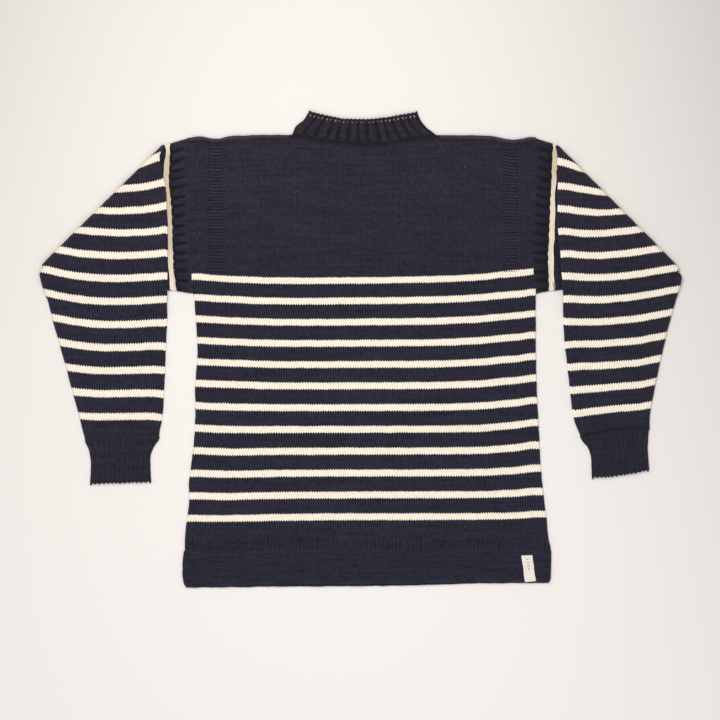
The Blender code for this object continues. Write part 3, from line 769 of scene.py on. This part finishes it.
def collarPoint(a, up):
    lower = 1.5 < a < 3.5
    x, y, z, share, arc = roundTube(a, lambda s: collarLine(s, up, 2 if lower else 1))
    wave = ribWave(share * collar["ribs"])
    seam = smooth(up / 0.1) * mix(0.3, 1.0, smooth((0.93 - up) / 0.06))
    if a <= 1:
        z += wave * collar["ribHeight"] * mix(0.15, 1.0, seam)
        z += 0.5 * bump(up - 0.98, 0.06) + creaseHeight(collarCreases, x, y)
    elif 2 <= a <= 3:
        z += (1 - wave) * 0.9 * seam
    return x, y, z


def collarShade(a, up):
    # Painted shade in the grooves and along the collar's foot, painted highlight on the rib crests
    wave = ribWave(tubeShare(a) * collar["ribs"])
    groove = mix(-0.5, 1.0, (1 - wave) ** 0.8) * smooth(up / 0.15) * (1 - 0.6 * smooth((up - 0.85) / 0.08))
    return max(groove, 0.95 * bump(up, 0.17))


def collarStitch(a, up):
    return tubeShare(a) * collar["ribs"] * 4 - 0.6, -up * 40 / cloth["course"]


def punchCastOff(bm):  # two holes a rib, through both layers
    places = [(k + phase) / collar["ribs"] for k in range(collar["ribs"]) for phase in (2 / 12, 8 / 12)]
    up = 1 - collar["castOff"] / collar["height"]
    row = min(bm.verts, key=lambda vertex: abs(vertex.co.y - up)).co.y
    step = 1.0 / (collar["ribs"] * collar["ribColumns"])
    holes = [
        vertex for vertex in bm.verts
        if abs(vertex.co.y - row) < 0.001 and (0 < vertex.co.x < 1 or 2 < vertex.co.x < 3)
        and any(abs(tubeShare(vertex.co.x) - place) < step * 0.4 for place in places)]
    faces = {face for vertex in holes for face in vertex.link_faces}
    rims = {corner: vertex.co.copy() for vertex in holes for face in vertex.link_faces
            for corner in face.verts if corner is not vertex}
    width, height = step * collar["middleWidth"], collar["height"]
    for corner, middle in rims.items():
        offset = Vector(((corner.co.x - middle.x) / step * width, (corner.co.y - middle.y) * height, 0))
        offset *= collar["holeRadius"] / offset.length
        corner.co = (middle.x + offset.x / width * step, middle.y + offset.y / height, 0)
    bmesh.ops.delete(bm, geom=list(faces), context="FACES")


bm = tubeGrid(collar["ribs"] * collar["ribColumns"], 8, spread(collar["rows"]))
punchCastOff(bm)
collarPiece = finishTube("Collar", bm, (collarPoint, collarStitch, collarShade), ribWool,
                         "collar", collar["thickness"])
print("collar made:", len(collarPiece.data.polygons), "faces")


# Armhole bands: ribs run out from the body to the sleeve
band = {
    "ribs": 16,
    "ribHeight": 1.8,
    "ribColumns": 10,
    "outerTop": 318.8,
    "outerBottom": 90.4,
    "innerTop": 326.8,
    "innerBottom": 86.5,
    "rows": 16,
    "thickness": 2.2,
}
armholeSeam = (
    # left, right, at equal steps from the shoulder to the underarm
    (-294.6, 297.5), (-295.1, 296.1), (-296.2, 295.1), (-293.7, 293.2), (-291.4, 292.4),
    (-290.6, 291.2), (-290.0, 289.9), (-288.2, 290.0), (-284.9, 291.7),
)
armholeRows = [(k / 8, *sides) for k, sides in enumerate(armholeSeam)]


def makeBand(name, node, side):
    outward = (-1, 1)[side]

    def lineAt(share, out):
        y = mix(mix(band["innerTop"], band["outerTop"], out) - edgeRadius,
                mix(band["innerBottom"], band["outerBottom"], out) + edgeRadius, share)
        bodyX = curve(bodySides, y, side + 1)
        return mix(bodyX, curve(armholeRows, share, side + 1), out), y

    def ribPlace(share, out):  # the grooves lean and wander a little
        lean = 0.16 * (0.5 - out) + 0.12 * math.sin(share * 9 + side * 2) * math.sin(share * 23 + 1)
        return share * band["ribs"] + lean * smooth(share / 0.06) * smooth((1 - share) / 0.06)

    def pointAt(a, out):
        x, y, z, share, arc = roundTube(a, lambda s: lineAt(s, out))
        place = ribPlace(share, out)
        wave = ribWave(place, mix(0.06, 0.2, out))
        strength = mix(0.35, 1.0, smooth(out / 0.6)) * smooth(out / 0.12)
        x += outward * 1.5 * (wave - 0.8) * smooth((out - 0.75) / 0.25)
        puff = 1 + 0.35 * noise.noise(Vector((math.floor(place + 0.09) * 3.7, side * 5.0, 0)))
        if a <= 1:
            z += (wave * puff - 0.3) * band["ribHeight"] * strength + 0.5 * smooth(out / 0.2)
            z -= 0.9 * smooth((out - 0.9) / 0.1)
        elif 2 <= a <= 3:
            z += (1 - wave) * 0.8 * strength
        return x, y, z

    def shadeAt(a, out):
        # Painted shade: the whole band a little darker, the right one more where the light falls off, more in
        # the grooves, and most at the ring side where the band rolls under
        share = tubeShare(a)
        wave = ribWave(ribPlace(share, out), mix(0.06, 0.26, out))
        groove = 1.5 * (1 - wave) * smooth(out / (0.45, 0.25)[side])
        groove *= smooth(share / 0.03 + 0.1) * smooth((1 - share) / 0.03 + 0.1)
        ringSideShade = smooth((out - mix(0.55, 0.72, wave)) / 0.2)
        return min(max(groove + (0.2, 0.4)[side] + (0.2, 0.35)[side] * out, 0.98 * ringSideShade), 1.0)

    def stitchAt(a, out):
        return ribPlace(tubeShare(a), out) * 4 - 0.6, out * 30 / cloth["course"]

    bm = tubeGrid(band["ribs"] * band["ribColumns"], 6, spread(band["rows"]))
    return finishTube(name, bm, (pointAt, stitchAt, shadeAt), bandWool, node, band["thickness"])


bandLeft = makeBand("ArmholeRibLeft", "armhole_rib_left", 0)
bandRight = makeBand("ArmholeRibRight", "armhole_rib_right", 1)
print("armhole bands made")


# Sleeves: sections from the armhole, round the fold and down to the cuff
sleeve = {
    "across": 64,
    "turnSteps": 6,
    "foldSteps": 16,
    "crown": 1.6,
    "stubRows": 7,  # cells to each section before the fold
    "rows": 6,  # and after it
    "foldPuff": 1.2,
}
leftSections = (
    # top x, top y, under x, under y, bow
    (-297.4, 318.4, -325.2, 95.0, 0.0),
    (-298.8, 317.8, -371.6, 102.7, 0.0),
    (-300.2, 316.4, -425.6, 112.0, 0.0),
    (-301.4, 313.8, -490.2, 126.4, 0.0),
    (-309.4, 300.5, -492.2, 122.8, 0.0),
    (-307.8, 282.0, -493.2, 121.2, 0.0),
    (-303.2, 262.0, -494.0, 120.2, 0.0),
    (-301.2, 250.0, -494.4, 119.4, 0.0),
    (-298.4, 205.0, -495.2, 117.6, 0.0),
    (-297.8, 150.0, -495.4, 115.6, 0.0),
    (-298.4, 89.0, -494.4, 111.0, 0.0),
    (-299.0, 66.0, -489.8, 90.4, 0.0),
    (-299.0, 45.0, -482.8, 70.3, 0.0),
    (-300.5, 14.7, -472.0, 30.1, 0.0),
    (-302.0, -19.3, -460.4, -10.0, 0.0),
    (-303.4, -60.0, -448.0, -57.0, 0.0),
    (-306.4, -104.0, -434.6, -106.0, 1.5),
    (-312.1, -134.0, -426.4, -138.8, 4.0),
)
rightSections = (
    # top x, top y, under x, under y, bow
    (299.0, 318.4, 335.0, 96.0, 0.0),
    (299.7, 317.8, 382.0, 103.0, 0.0),
    (300.2, 316.2, 434.0, 111.5, 0.0),
    (300.6, 313.2, 489.4, 122.4, 0.0),
    (303.5, 301.0, 491.4, 118.8, 0.0),
    (303.4, 282.0, 492.6, 117.4, 0.0),
    (304.2, 262.0, 493.6, 116.2, 0.0),
    (304.4, 250.0, 494.2, 115.2, 0.0),
    (303.8, 205.0, 495.4, 113.2, 0.0),
    (308.2, 150.0, 496.0, 110.6, 0.0),
    (312.8, 87.5, 495.4, 106.0, 0.0),
    (313.3, 64.0, 491.6, 88.0, 0.0),
    (313.8, 44.0, 485.6, 69.0, 0.0),
    (315.4, 13.0, 474.6, 28.0, 0.0),
    (319.0, -18.0, 466.2, -8.0, 1.0),
    (323.6, -60.0, 456.8, -52.0, 2.0),
    (329.4, -104.0, 448.2, -96.0, 4.0),
    (339.6, -133.6, 447.4, -121.0, 6.0),
)
# Knitted rows on the folded sleeves: the row's number, then its y at each x of the columns
leftColumns = (-550.0, -490.0, -464.0, -434.0, -402.0, -371.5, -340.5, -317.5, -305.0)
leftRows = (
    (-14, 336.0, 334.0, 332.0, 330.0, 328.0, 326.0, 323.0, 321.0, 320.0),
    (0, 292.0, 289.0, 288.0, 286.0, 285.5, 286.5, 292.0, 302.1, 307.0),
    (12, 259.0, 256.0, 254.0, 253.0, 252.5, 253.5, 256.0, 260.6, 264.2),
    (36, 203.0, 199.0, 195.0, 190.0, 187.4, 185.7, 186.5, 188.0, 190.5),
    (60, 135.0, 129.8, 124.2, 119.1, 116.3, 115.7, 116.8, 118.2, 119.4),
    (96, 28.0, 23.0, 17.6, 12.4, 9.3, 9.0, 10.0, 11.4, 11.4),
    (132, -87.0, -91.0, -94.0, -96.6, -98.3, -97.8, -97.3, -98.1, -100.3),
    (146, -128.0, -132.0, -135.0, -137.5, -138.5, -138.5, -138.5, -139.0, -140.0),
)
rightColumns = (308.0, 320.6, 339.1, 370.0, 400.9, 431.8, 455.0, 489.0, 550.0)
rightRows = (
    (-14, 320.0, 321.0, 323.0, 326.0, 328.0, 330.0, 332.0, 334.0, 336.0),
    (0, 296.0, 291.7, 284.3, 280.0, 281.0, 283.0, 285.0, 287.0, 290.0),
    (12, 258.2, 256.8, 253.2, 248.0, 248.0, 250.5, 252.0, 255.0, 259.0),
    (36, 188.0, 187.3, 184.8, 184.8, 187.6, 191.6, 195.0, 199.0, 205.0),
    (60, 118.3, 119.1, 117.7, 116.7, 118.7, 122.5, 126.5, 132.0, 140.0),
    (84, 48.8, 48.8, 48.1, 48.5, 50.7, 54.2, 58.2, 65.0, 73.0),
    (108, -22.5, -21.8, -19.9, -19.5, -17.0, -14.4, -9.4, -4.0, 4.0),
    (132, -95.0, -94.0, -92.2, -88.5, -85.3, -83.1, -78.0, -74.0, -68.0),
    (146, -140.0, -137.0, -134.0, -128.5, -124.0, -121.0, -119.0, -116.0, -112.0),
)
leftCreases = (
    (-330, 262, 36, 34, 9, 0.9), (-352, 205, 20, 60, 14, -0.7), (-420, 150, 35, 60, 14, 0.8),
    (-340, 60, 78, 70, 16, -0.7), (-430, 40, 68, 60, 12, 0.7), (-372, -60, 86, 60, 14, -0.6),
    (-350, -118, 10, 26, 7, -0.8), (-400, -120, 168, 24, 7, 0.7),
)
rightCreases = (
    (330, 262, 144, 34, 9, 0.9), (360, 205, 158, 60, 14, -0.7), (420, 160, 142, 60, 14, 0.8),
    (345, 60, 100, 70, 16, -0.7), (440, 30, 108, 60, 12, 0.7), (385, -60, 98, 60, 14, -0.6),
    (372, -112, 4, 26, 7, -0.8), (424, -104, 18, 24, 7, 0.7),
)


# The pale ring beside the armhole seams, from shoulder to underarm, with the painted shadow on it
ringRows = (
    # share, left row width, right row width, left painted shade, right painted shade
    (0.0, 3.0, 2.75, 0.4, 0.4), (0.04, 2.3, 2.5, 0.75, 0.88), (0.08, 2.3, 3.2, 0.95, 0.88),
    (0.12, 3.0, 4.0, 0.97, 0.95), (0.15, 3.4, 3.9, 0.97, 0.95), (0.19, 3.3, 2.7, 0.97, 0.9),
    (0.28, 3.3, 2.8, 0.97, 0.7), (0.33, 2.2, 2.7, 0.97, 0.65), (0.45, 3.0, 2.9, 0.97, 0.6),
    (0.5, 2.6, 3.3, 0.95, 0.58), (0.7, 2.9, 3.3, 0.93, 0.58), (0.8, 3.1, 3.3, 0.75, 0.58),
    (1.0, 3.5, 3.3, 0.5, 0.55),
)


def makeSleeve(name, node, side, sections, rows, columns, creases):
    outward = (-1, 1)[side]
    foldRow = 3
    fold = sections[foldRow]
    foldLength = math.dist(fold[:2], fold[2:4])
    foldDirection = ((fold[2] - fold[0]) / foldLength, (fold[3] - fold[1]) / foldLength)
    out = (outward * abs(foldDirection[1]), abs(foldDirection[0]))
    numbered = [(k,) + row for k, row in enumerate(sections)]

    def sectionLine(row, share):  # a point of a section before the fold is made
        if row < 0:
            seam = (curve(armholeRows, share, side + 1),
                    mix(band["outerTop"] - edgeRadius, band["outerBottom"] + edgeRadius, share))
            first = sectionLine(0, share)
            return mix(first[0], seam[0], -row), mix(first[1], seam[1], -row)
        part = numbered[:foldRow + 1] if row <= foldRow else numbered[foldRow:]
        topX, topY, underX, underY, bow = (curve(part, row, column) for column in range(1, 6))
        length = math.dist((topX, topY), (underX, underY))
        along = ((underX - topX) / length, (underY - topY) / length)
        distance = edgeRadius + (length - 2 * edgeRadius) * share
        lift = bow * 4 * share * (1 - share)
        return topX + along[0] * distance, topY + along[1] * distance + lift

    # d counts rows up to the fold, then the turn of the fold, then the rows after it
    def unpack(d):
        if d <= foldRow:
            return d, 0.0
        if d <= foldRow + 1:
            return float(foldRow), math.pi * (d - foldRow)
        return d - 1, math.pi

    def sleevePlan(a, d):
        row, angle = unpack(d)
        x, y, z, share, arc = roundTube(a, lambda s: sectionLine(row, s))
        return row, angle, x, y, z, share, arc

    def pointAt(a, d):
        row, angle, x, y, z, share, arc = sleevePlan(a, d)
        drop = smooth((row - 10) / 2)  # past the folded part the sleeve sinks to the floor
        middle = 4 * share * (1 - share)
        under = 1 - z / flatHeight
        z -= sleeve["crown"] * middle * drop * under
        radius = innerRadius + flatHeight - z
        height = flatHeight + innerRadius - radius * math.cos(angle)
        shift = radius * math.sin(angle)
        x, y = x + out[0] * shift, y + out[1] * shift
        height -= drop * (flatHeight + cloth["layerGap"])
        top = under * smooth((angle - 1.3) / 1.6)
        puff = bump(row - foldRow - 0.4, 1.6) * smooth(share / 0.04) * smooth((1 - share) / 0.04)
        relief = (creaseHeight(creases, x, y) + unevenness(x, y)) * smooth(middle * 2)
        height += top * (sleeve["foldPuff"] * puff + relief)
        return x, y, height

    def foldedPlan(a, d):  # where the point lies on the plane of the folded sleeve
        row, angle, x, y, z, share, arc = sleevePlan(a, d)
        radius = innerRadius + flatHeight - z
        if angle == 0.0:
            offX, offY = x - fold[0], y - fold[1]
            outBy = offX * out[0] + offY * out[1]
            x, y = x - 2 * out[0] * outBy, y - 2 * out[1] * outBy
        wrap = radius * (math.pi - angle)
        x, y = x + out[0] * wrap, y + out[1] * wrap
        return x, y

    def awayInRows(x, share):  # how many rows of the ring lie between a point and the armhole seam
        return abs(x - curve(armholeRows, share, side + 1)) / straight(ringRows, share, side + 1)

    def stitchAt(a, d):
        row, angle, x, y, z, share, arc = sleevePlan(a, d)
        px, py = foldedPlan(a, d)
        number = rowNumber(rows, columns, px, py)
        if angle == 0.0:
            away = abs(x - curve(armholeRows, share, side + 1))
            near = awayInRows(x, share) - 13.8
            number = mix(near, number, smooth((away - 14) / 40))
            if away < 12:
                return 0.25 + 0.1 * math.sin(2 * math.pi * y / cloth["wale"]), number
        lean = (0.0, 0.1)[side] * smooth((100 - py) / 200)
        return (px + lean * py + outward * arc) / cloth["wale"], number

    def shadeAt(a, d):
        row, angle, x, y, z, share, arc = sleevePlan(a, d)
        # Painted shade along the armhole seam and the cuff seam; past the ring, painted shadow under the
        # folded layer, and the ring's own painted shadow
        shade = max(0.7 * bump(row + 1, 0.15), (0.1, 0.6)[side] * bump(row - len(sections) + 1, 0.12))
        if angle == 0.0 and z > edgeRadius:
            shadowBeyondRing = 0.95 * smooth((awayInRows(x, share) - 2.6) / 1.5)
            shade = max(shade, shadowBeyondRing, straight(ringRows, share, side + 3))
        return shade

    def kindAt(a, d):  # plain yarn in the painted shadow behind the ring
        row, angle, x, y, z, share, arc = sleevePlan(a, d)
        return 2.0 if angle == 0.0 and z > edgeRadius and awayInRows(x, share) > 3.4 else 0.0

    down = [-1 + k / sleeve["stubRows"] for k in range(sleeve["stubRows"])]
    down += [k / sleeve["stubRows"] for k in range(foldRow * sleeve["stubRows"])]
    down += [foldRow + k / sleeve["foldSteps"] for k in range(sleeve["foldSteps"])]
    rowsAfter = (len(sections) - 1 - foldRow) * sleeve["rows"]
    down += [foldRow + 1 + k / sleeve["rows"] for k in range(rowsAfter + 1)]
    bm = tubeGrid(sleeve["across"], sleeve["turnSteps"], down)
    return finishTube(name, bm, (pointAt, stitchAt, shadeAt, kindAt), sleeveWool, node)


leftTables = (leftSections, leftRows, leftColumns, leftCreases)
rightTables = (rightSections, rightRows, rightColumns, rightCreases)
sleeveLeft = makeSleeve("SleeveLeft", "sleeve_left", 0, *leftTables)
sleeveRight = makeSleeve("SleeveRight", "sleeve_right", 1, *rightTables)
print("sleeves made:", len(sleeveLeft.data.polygons), "faces each")


# Cuffs: fine ribs, cast off in small scallops
cuffs = {
    "ribs": 12,
    "ribHeight": 1.0,
    "ribColumns": 8,
    "rows": 34,
    "scallop": 1.9,
    "thickness": 2.2,
}
leftCuff = (
    # place, outer x, outer y, inner x, inner y, bow
    (0.0, -426.9, -138.8, -310.8, -134.5, 4.0),
    (0.09, -425.4, -144.0, -312.8, -141.0, 3.0),
    (0.24, -420.6, -155.0, -320.8, -152.5, 1.5),
    (0.45, -417.6, -170.7, -325.0, -168.0, 0.5),
    (0.95, -418.6, -204.6, -323.9, -201.6, 0.0),
    (1.0, -418.9, -208.0, -323.7, -205.0, 0.0),
)
rightCuff = (
    (0.0, 447.4, -121.5, 338.6, -134.1, 6.0),
    (0.12, 445.6, -129.0, 342.8, -141.5, 5.0),
    (0.3, 444.8, -141.0, 350.8, -150.5, 2.5),
    (0.55, 444.4, -158.0, 356.2, -166.0, 0.0),
    (0.95, 446.4, -183.4, 357.8, -195.4, -1.5),
    (1.0, 446.0, -186.8, 357.8, -198.8, -2.0),
)


def makeCuff(name, node, side, table):
    def lineAt(share, along):
        outerX, outerY, innerX, innerY, bow = (curve(table, along, column) for column in range(1, 6))
        length = math.dist((outerX, outerY), (innerX, innerY))
        direction = ((innerX - outerX) / length, (innerY - outerY) / length)
        distance = edgeRadius + (length - 2 * edgeRadius) * share
        lift = bow * 4 * share * (1 - share)
        beat = math.cos(2 * math.pi * (share * 14 + 0.15 * math.sin(share * 17)))
        scallop = cuffs["scallop"] * bump(along - 1, 0.07) * (1 - beat) / 2 - 0.6 * bump(along - 1, 0.07)
        return outerX + direction[0] * distance, outerY + direction[1] * distance + lift + scallop

    def pointAt(a, along):
        x, y, z, share, arc = roundTube(a, lambda s: lineAt(s, along))
        wave = ribWave(share * cuffs["ribs"])
        strength = smooth(along / 0.1) * mix(0.4, 1.0, smooth((1 - along) / 0.05))
        if a <= 1:
            z += wave * cuffs["ribHeight"] * mix(0.2, 1.0, strength)
            z += (0.6 if side == 0 else 0.3) * bump(along, 0.06)
        elif 2 <= a <= 3:
            z += (1 - wave) * 0.7 * strength
        return x, y, z

    def shadeAt(a, along):
        share = tubeShare(a)
        wave = ribWave(share * cuffs["ribs"])
        # Painted highlight dashes along the left cuff's seam; painted shade in the right one's seam and in
        # the grooves
        if side == 0 and along < 0.05:
            return -0.5 * bump(along - 0.02, 0.03) * (0.5 + 0.5 * math.sin(share * 100))
        seam = (0.0, 0.9)[side] * bump(along - 0.02, 0.05)
        return max(0.5 * (1 - wave) * smooth(along / 0.1) - 0.1, seam)

    def stitchAt(a, along):
        return tubeShare(a) * cuffs["ribs"] * 2 + 0.2, along * 70 / cloth["course"]

    bm = tubeGrid(cuffs["ribs"] * cuffs["ribColumns"], 6, spread(cuffs["rows"]))
    return finishTube(name, bm, (pointAt, stitchAt, shadeAt), ribWool, node, cuffs["thickness"])


cuffLeft = makeCuff("CuffLeft", "cuff_left", 0, leftCuff)
cuffRight = makeCuff("CuffRight", "cuff_right", 1, rightCuff)
print("cuffs made")


# Welts: garter stitch flaps, open at the sides
welts = {
    "width": 568,
    "top": -311.4,
    "ridges": 14,
    "ridgeHeight": 0.7,
    "cell": 3.6,
    "edgeSoft": 1.0,
    "castOnPitch": 3.8,
}
weltEdges = (
    # x, front bottom, back bottom
    (-275.0, -366.9, -368.5), (-170.7, -364.6, -367.4), (-124.0, -362.3, -366.9), (61.0, -362.3, -365.4),
    (184.6, -360.0, -362.0), (294.8, -360.0, -361.3),
)
weltSides = (
    # y, left, right
    (-370.0, -271.4, 291.0), (-356.0, -274.4, 293.4), (-332.9, -275.2, 294.4), (-311.6, -273.4, 295.0),
)


def weltPlan(a, down, column):
    left, right = weltSides[-1][1:]
    bottom = curve(weltEdges, mix(left, right, a), column)
    y = mix(welts["top"], bottom, down)
    corner = bump(down - 1, 0.1) * (bump(a, 0.008) - bump(a - 1, 0.008)) * 2.0
    return mix(curve(weltSides, y, 1), curve(weltSides, y, 2), a) + corner, y


def edgeDrop(a, down):  # the free edges round over
    near = min(a * welts["width"], (1 - a) * welts["width"], (1 - down) * 50)
    return welts["edgeSoft"] * (1 - smooth(near / 1.6))


def weltRelief(a, down):
    wander = 0.9 * noise.noise(Vector((a * 22, down * 3, 1.0)))
    wave = 0.5 - 0.5 * math.cos(2 * math.pi * (down * welts["ridges"] + wander * 0.5))
    selvedge = max(bump(side * welts["width"] - 7, 2.2) for side in (a, 1 - a))
    foot = smooth((down - 0.86) / 0.05)
    stroke = 0.5 + 0.5 * math.cos(2 * math.pi * a * welts["width"] / welts["castOnPitch"])
    return wave * (1 - selvedge) * (1 - 0.6 * foot), stroke * foot, selvedge


def makeWelt(name, node, layer):
    column = 1 if layer > 0 else 2

    def pointAt(a, down):
        x, y = weltPlan(a, down, column)
        ridge, stroke, selvedge = weltRelief(a, down)
        top = smooth(down / 0.04)
        if layer > 0:
            z = flatHeight + crown(a, y) + ridge * welts["ridgeHeight"] * top + stroke * 0.45
            z += unevenness(x, y) * 0.8 * top - selvedge * 0.3
            return x, y, z - edgeDrop(a, down)
        return x, y, (1 - ridge) * 0.6 * top + edgeDrop(a, down)

    def shadeAt(a, down):
        ridge, stroke, selvedge = weltRelief(a, down)
        # Painted shade: the welt darker overall, patchy between the ridges, at the selvedges, along the top
        # seam and between the cast-on strokes, with a painted highlight on the strokes
        patchy = 0.35 + 0.3 * noise.noise(Vector((a * 60, down * 5, 7.0)))
        foot = smooth((down - 0.86) / 0.05)
        return max(0.38 + patchy * (1 - ridge) * (1 - foot) - 0.6 * foot * stroke, 0.7 * selvedge,
                   0.7 * bump(down, 0.04), 0.7 * foot * (1 - stroke))

    def stitchAt(a, down):
        x, y = weltPlan(a, down, column)
        return x / cloth["wale"], down * welts["ridges"] * 2.0

    rowsDown = [k / (welts["ridges"] * 6) for k in range(welts["ridges"] * 6)] + [0.994, 1.0]
    bm = stopGrid(stops(welts["cell"] / welts["width"], (0.0, 0.001, 0.0025, 0.006)), rowsDown[::-1])
    layCloth(bm, pointAt, stitchAt, shadeAt, lambda a, down: 1.0)
    return finishCloth(name, bm, garterWool, node, flip=layer < 0)


weltFront = makeWelt("WeltFront", "welt_front", 1)
weltBack = makeWelt("WeltBack", "welt_back", -1)
print("welts made:", len(weltFront.data.polygons), "faces each")


# Label: plain woven tape
label = {
    "corners": ((248.0, -318.4), (265.3, -317.2), (271.1, -357.6), (254.2, -359.4)),
    "thickness": 0.8,
    "threads": (28, 52),  # warp across, weft down
    "tape": (0.80, 0.74, 0.68, 1),
    "threadShade": (0.3, 0.28, 0.25, 1),
    "bars": (0.34, 0.32, 0.34, 1),
    "barReach": 0.11,  # each way from the middle, as a share of the width
    "barRepeat": 8.0,  # in the whole length
    "barShare": 0.42,  # of each repeat
    "barEnds": (0.12, 0.62),  # where the row of bars starts and stops, down the label
}


def tapeMaterial():
    material = bpy.data.materials.new("Label tape")
    material.use_nodes = True
    tree = material.node_tree
    shader = tree.nodes["Principled BSDF"]
    counted = addNode(tree, "ShaderNodeUVMap", uv_map="UVMap").outputs[0]
    split = addNode(tree, "ShaderNodeSeparateXYZ", {0: counted})
    along, down = split.outputs[0], split.outputs[1]
    warp = calc(tree, "SINE", calc(tree, "MULTIPLY", along, 2 * math.pi * label["threads"][0]))
    weft = calc(tree, "SINE", calc(tree, "MULTIPLY", down, 2 * math.pi * label["threads"][1]))
    weave = calc(tree, "MULTIPLY", warp, weft)
    across = calc(tree, "LESS_THAN", fromMiddle(tree, along), label["barReach"])
    turn = calc(tree, "FRACT", calc(tree, "MULTIPLY", down, label["barRepeat"]))
    repeat = calc(tree, "LESS_THAN", turn, label["barShare"])
    upper = calc(tree, "LESS_THAN", down, label["barEnds"][1])
    lower = calc(tree, "GREATER_THAN", down, label["barEnds"][0])
    bars = calc(tree, "MULTIPLY", across, repeat)
    for limit in (upper, lower):
        bars = calc(tree, "MULTIPLY", bars, limit)
    colour = blendColours(tree, calc(tree, "MULTIPLY", bars, 0.8), label["tape"], label["bars"])
    # Painted shade where the threads dip under each other
    weaveShade = calc(tree, "MULTIPLY_ADD", weave, 0.04, 0.04)
    colour = blendColours(tree, weaveShade, colour, label["threadShade"])
    tree.links.new(colour, shader.inputs["Base Color"])
    shader.inputs["Roughness"].default_value = 0.8
    raised = addNode(tree, "ShaderNodeBump", {"Height": weave, "Distance": 0.0002, "Strength": 0.5})
    tree.links.new(raised.outputs[0], shader.inputs["Normal"])
    return material


def labelPoint(a, down):
    (ax, ay), (bx, by), (cx, cy), (dx, dy) = label["corners"]
    x, y = mix(mix(ax, bx, a), mix(dx, cx, a), down), mix(mix(ay, by, a), mix(dy, cy, a), down)
    left, right = weltSides[-1][1:]
    crest = flatHeight + welts["ridgeHeight"] + crown((x - left) / (right - left), y) + cloth["seamGap"]
    curl = 0.5 * smooth((down - 0.8) / 0.2) + 0.25 * math.sin(down * 7) * smooth(down * 3)
    return x, y, crest + label["thickness"] + curl * smooth(min(a, 1 - a) * 5 + 0.3)


bm = stopGrid(spread(12), spread(26)[::-1])
layCloth(bm, labelPoint, lambda a, down: (a, down))
labelPiece = finishCloth("Label", bm, tapeMaterial(), "label", label["thickness"])
print("label made")


# Floor, lights and camera
studio = {
    "floor": (0.785, 0.752, 0.730, 1),
    "floorSize": 12.0,
    "floorDrop": 0.0002,  # just under the cloth
    "floorLevel": 0.972,
    # Painted shade on the floor, standing in for the lamps' falloff
    "topPaintedShade": (-0.05, 0.7),  # change for each metre up the photo, and how far it reaches
    "edgePaintedShade": (-0.1, -0.47, -0.3),  # for each square metre off the middle: by right, by up, plain
    "edgeShadeLimits": (-0.2, 0.02),
    "world": (1.0, 0.98, 0.965, 1),
    "worldStrength": 0.46,
    "key": ((-0.36, 0.65, 1.75), 0.9, 22.5, (1.0, 0.97, 0.93)),  # place, size, energy, colour
    "fill": ((0.2, -0.9, 1.8), 1.6, 15.0, (0.96, 0.98, 1.0)),
    "cameraHeight": 2.6,
    "clothTop": 0.006,
    "frameWidth": 1.1124,  # at the cloth's top
    "frameMiddle": (-0.0011, -0.0155),
}

bm = bmesh.new()
bmesh.ops.create_grid(bm, x_segments=2, y_segments=2, size=studio["floorSize"])
floorMesh = bpy.data.meshes.new("Floor")
bm.to_mesh(floorMesh)
bm.free()
floor = bpy.data.objects.new("Floor", floorMesh)
bpy.context.scene.collection.objects.link(floor)
floorMesh.transform(Matrix.Translation((0, 0, -studio["floorDrop"])))
paint = bpy.data.materials.new("Floor paint")
paint.use_nodes = True
tree = paint.node_tree
place = addNode(tree, "ShaderNodeSeparateXYZ", {0: addNode(tree, "ShaderNodeTexCoord").outputs["Object"]})
right, up = place.outputs[0], place.outputs[1]


def clampTo(value, low, high):
    return calc(tree, "MINIMUM", calc(tree, "MAXIMUM", value, low), high)


# Painted shade: a little darker towards the top, and towards both sides
byRight, byUp, plain = studio["edgePaintedShade"]
sides = calc(tree, "MULTIPLY_ADD", right, byRight, calc(tree, "MULTIPLY_ADD", up, byUp, plain))
sides = calc(tree, "MULTIPLY", sides, calc(tree, "MULTIPLY", right, right))
fade, reach = studio["topPaintedShade"]
level = calc(tree, "MULTIPLY_ADD", clampTo(up, -reach, reach), fade, studio["floorLevel"])
level = calc(tree, "ADD", level, clampTo(sides, *studio["edgeShadeLimits"]))
graded = addNode(tree, "ShaderNodeHueSaturation", {"Color": studio["floor"], "Value": level})
tree.links.new(graded.outputs[0], tree.nodes["Principled BSDF"].inputs["Base Color"])
tree.nodes["Principled BSDF"].inputs["Roughness"].default_value = 0.85
floorMesh.materials.append(paint)

world = bpy.data.worlds.new("Studio")
world.use_nodes = True
sky = world.node_tree.nodes["Background"].inputs
sky[0].default_value, sky[1].default_value = studio["world"], studio["worldStrength"]
bpy.context.scene.world = world


def addLamp(name, place, size, energy, colour):
    lamp = bpy.data.lights.new(name, "AREA")
    lamp.shape = "DISK"
    lamp.size = size
    lamp.energy = energy
    lamp.color = colour
    holder = bpy.data.objects.new(name, lamp)
    bpy.context.scene.collection.objects.link(holder)
    holder.location = place
    holder.rotation_euler = (-Vector(place)).to_track_quat("-Z", "Y").to_euler()


addLamp("Key light", *studio["key"])
addLamp("Fill light", *studio["fill"])

camera = bpy.data.objects.new("Camera", bpy.data.cameras.new("Camera"))
cameraRise = studio["cameraHeight"] - studio["clothTop"]
camera.data.angle = 2 * math.atan(studio["frameWidth"] / 2 / cameraRise)
camera.location = (*studio["frameMiddle"], studio["cameraHeight"])
bpy.context.scene.collection.objects.link(camera)
bpy.context.scene.camera = camera
bpy.context.scene.view_settings.view_transform = "Standard"
bpy.context.scene.cycles.denoising_prefilter = "FAST"  # keeps the single stitches crisp
print("studio made")
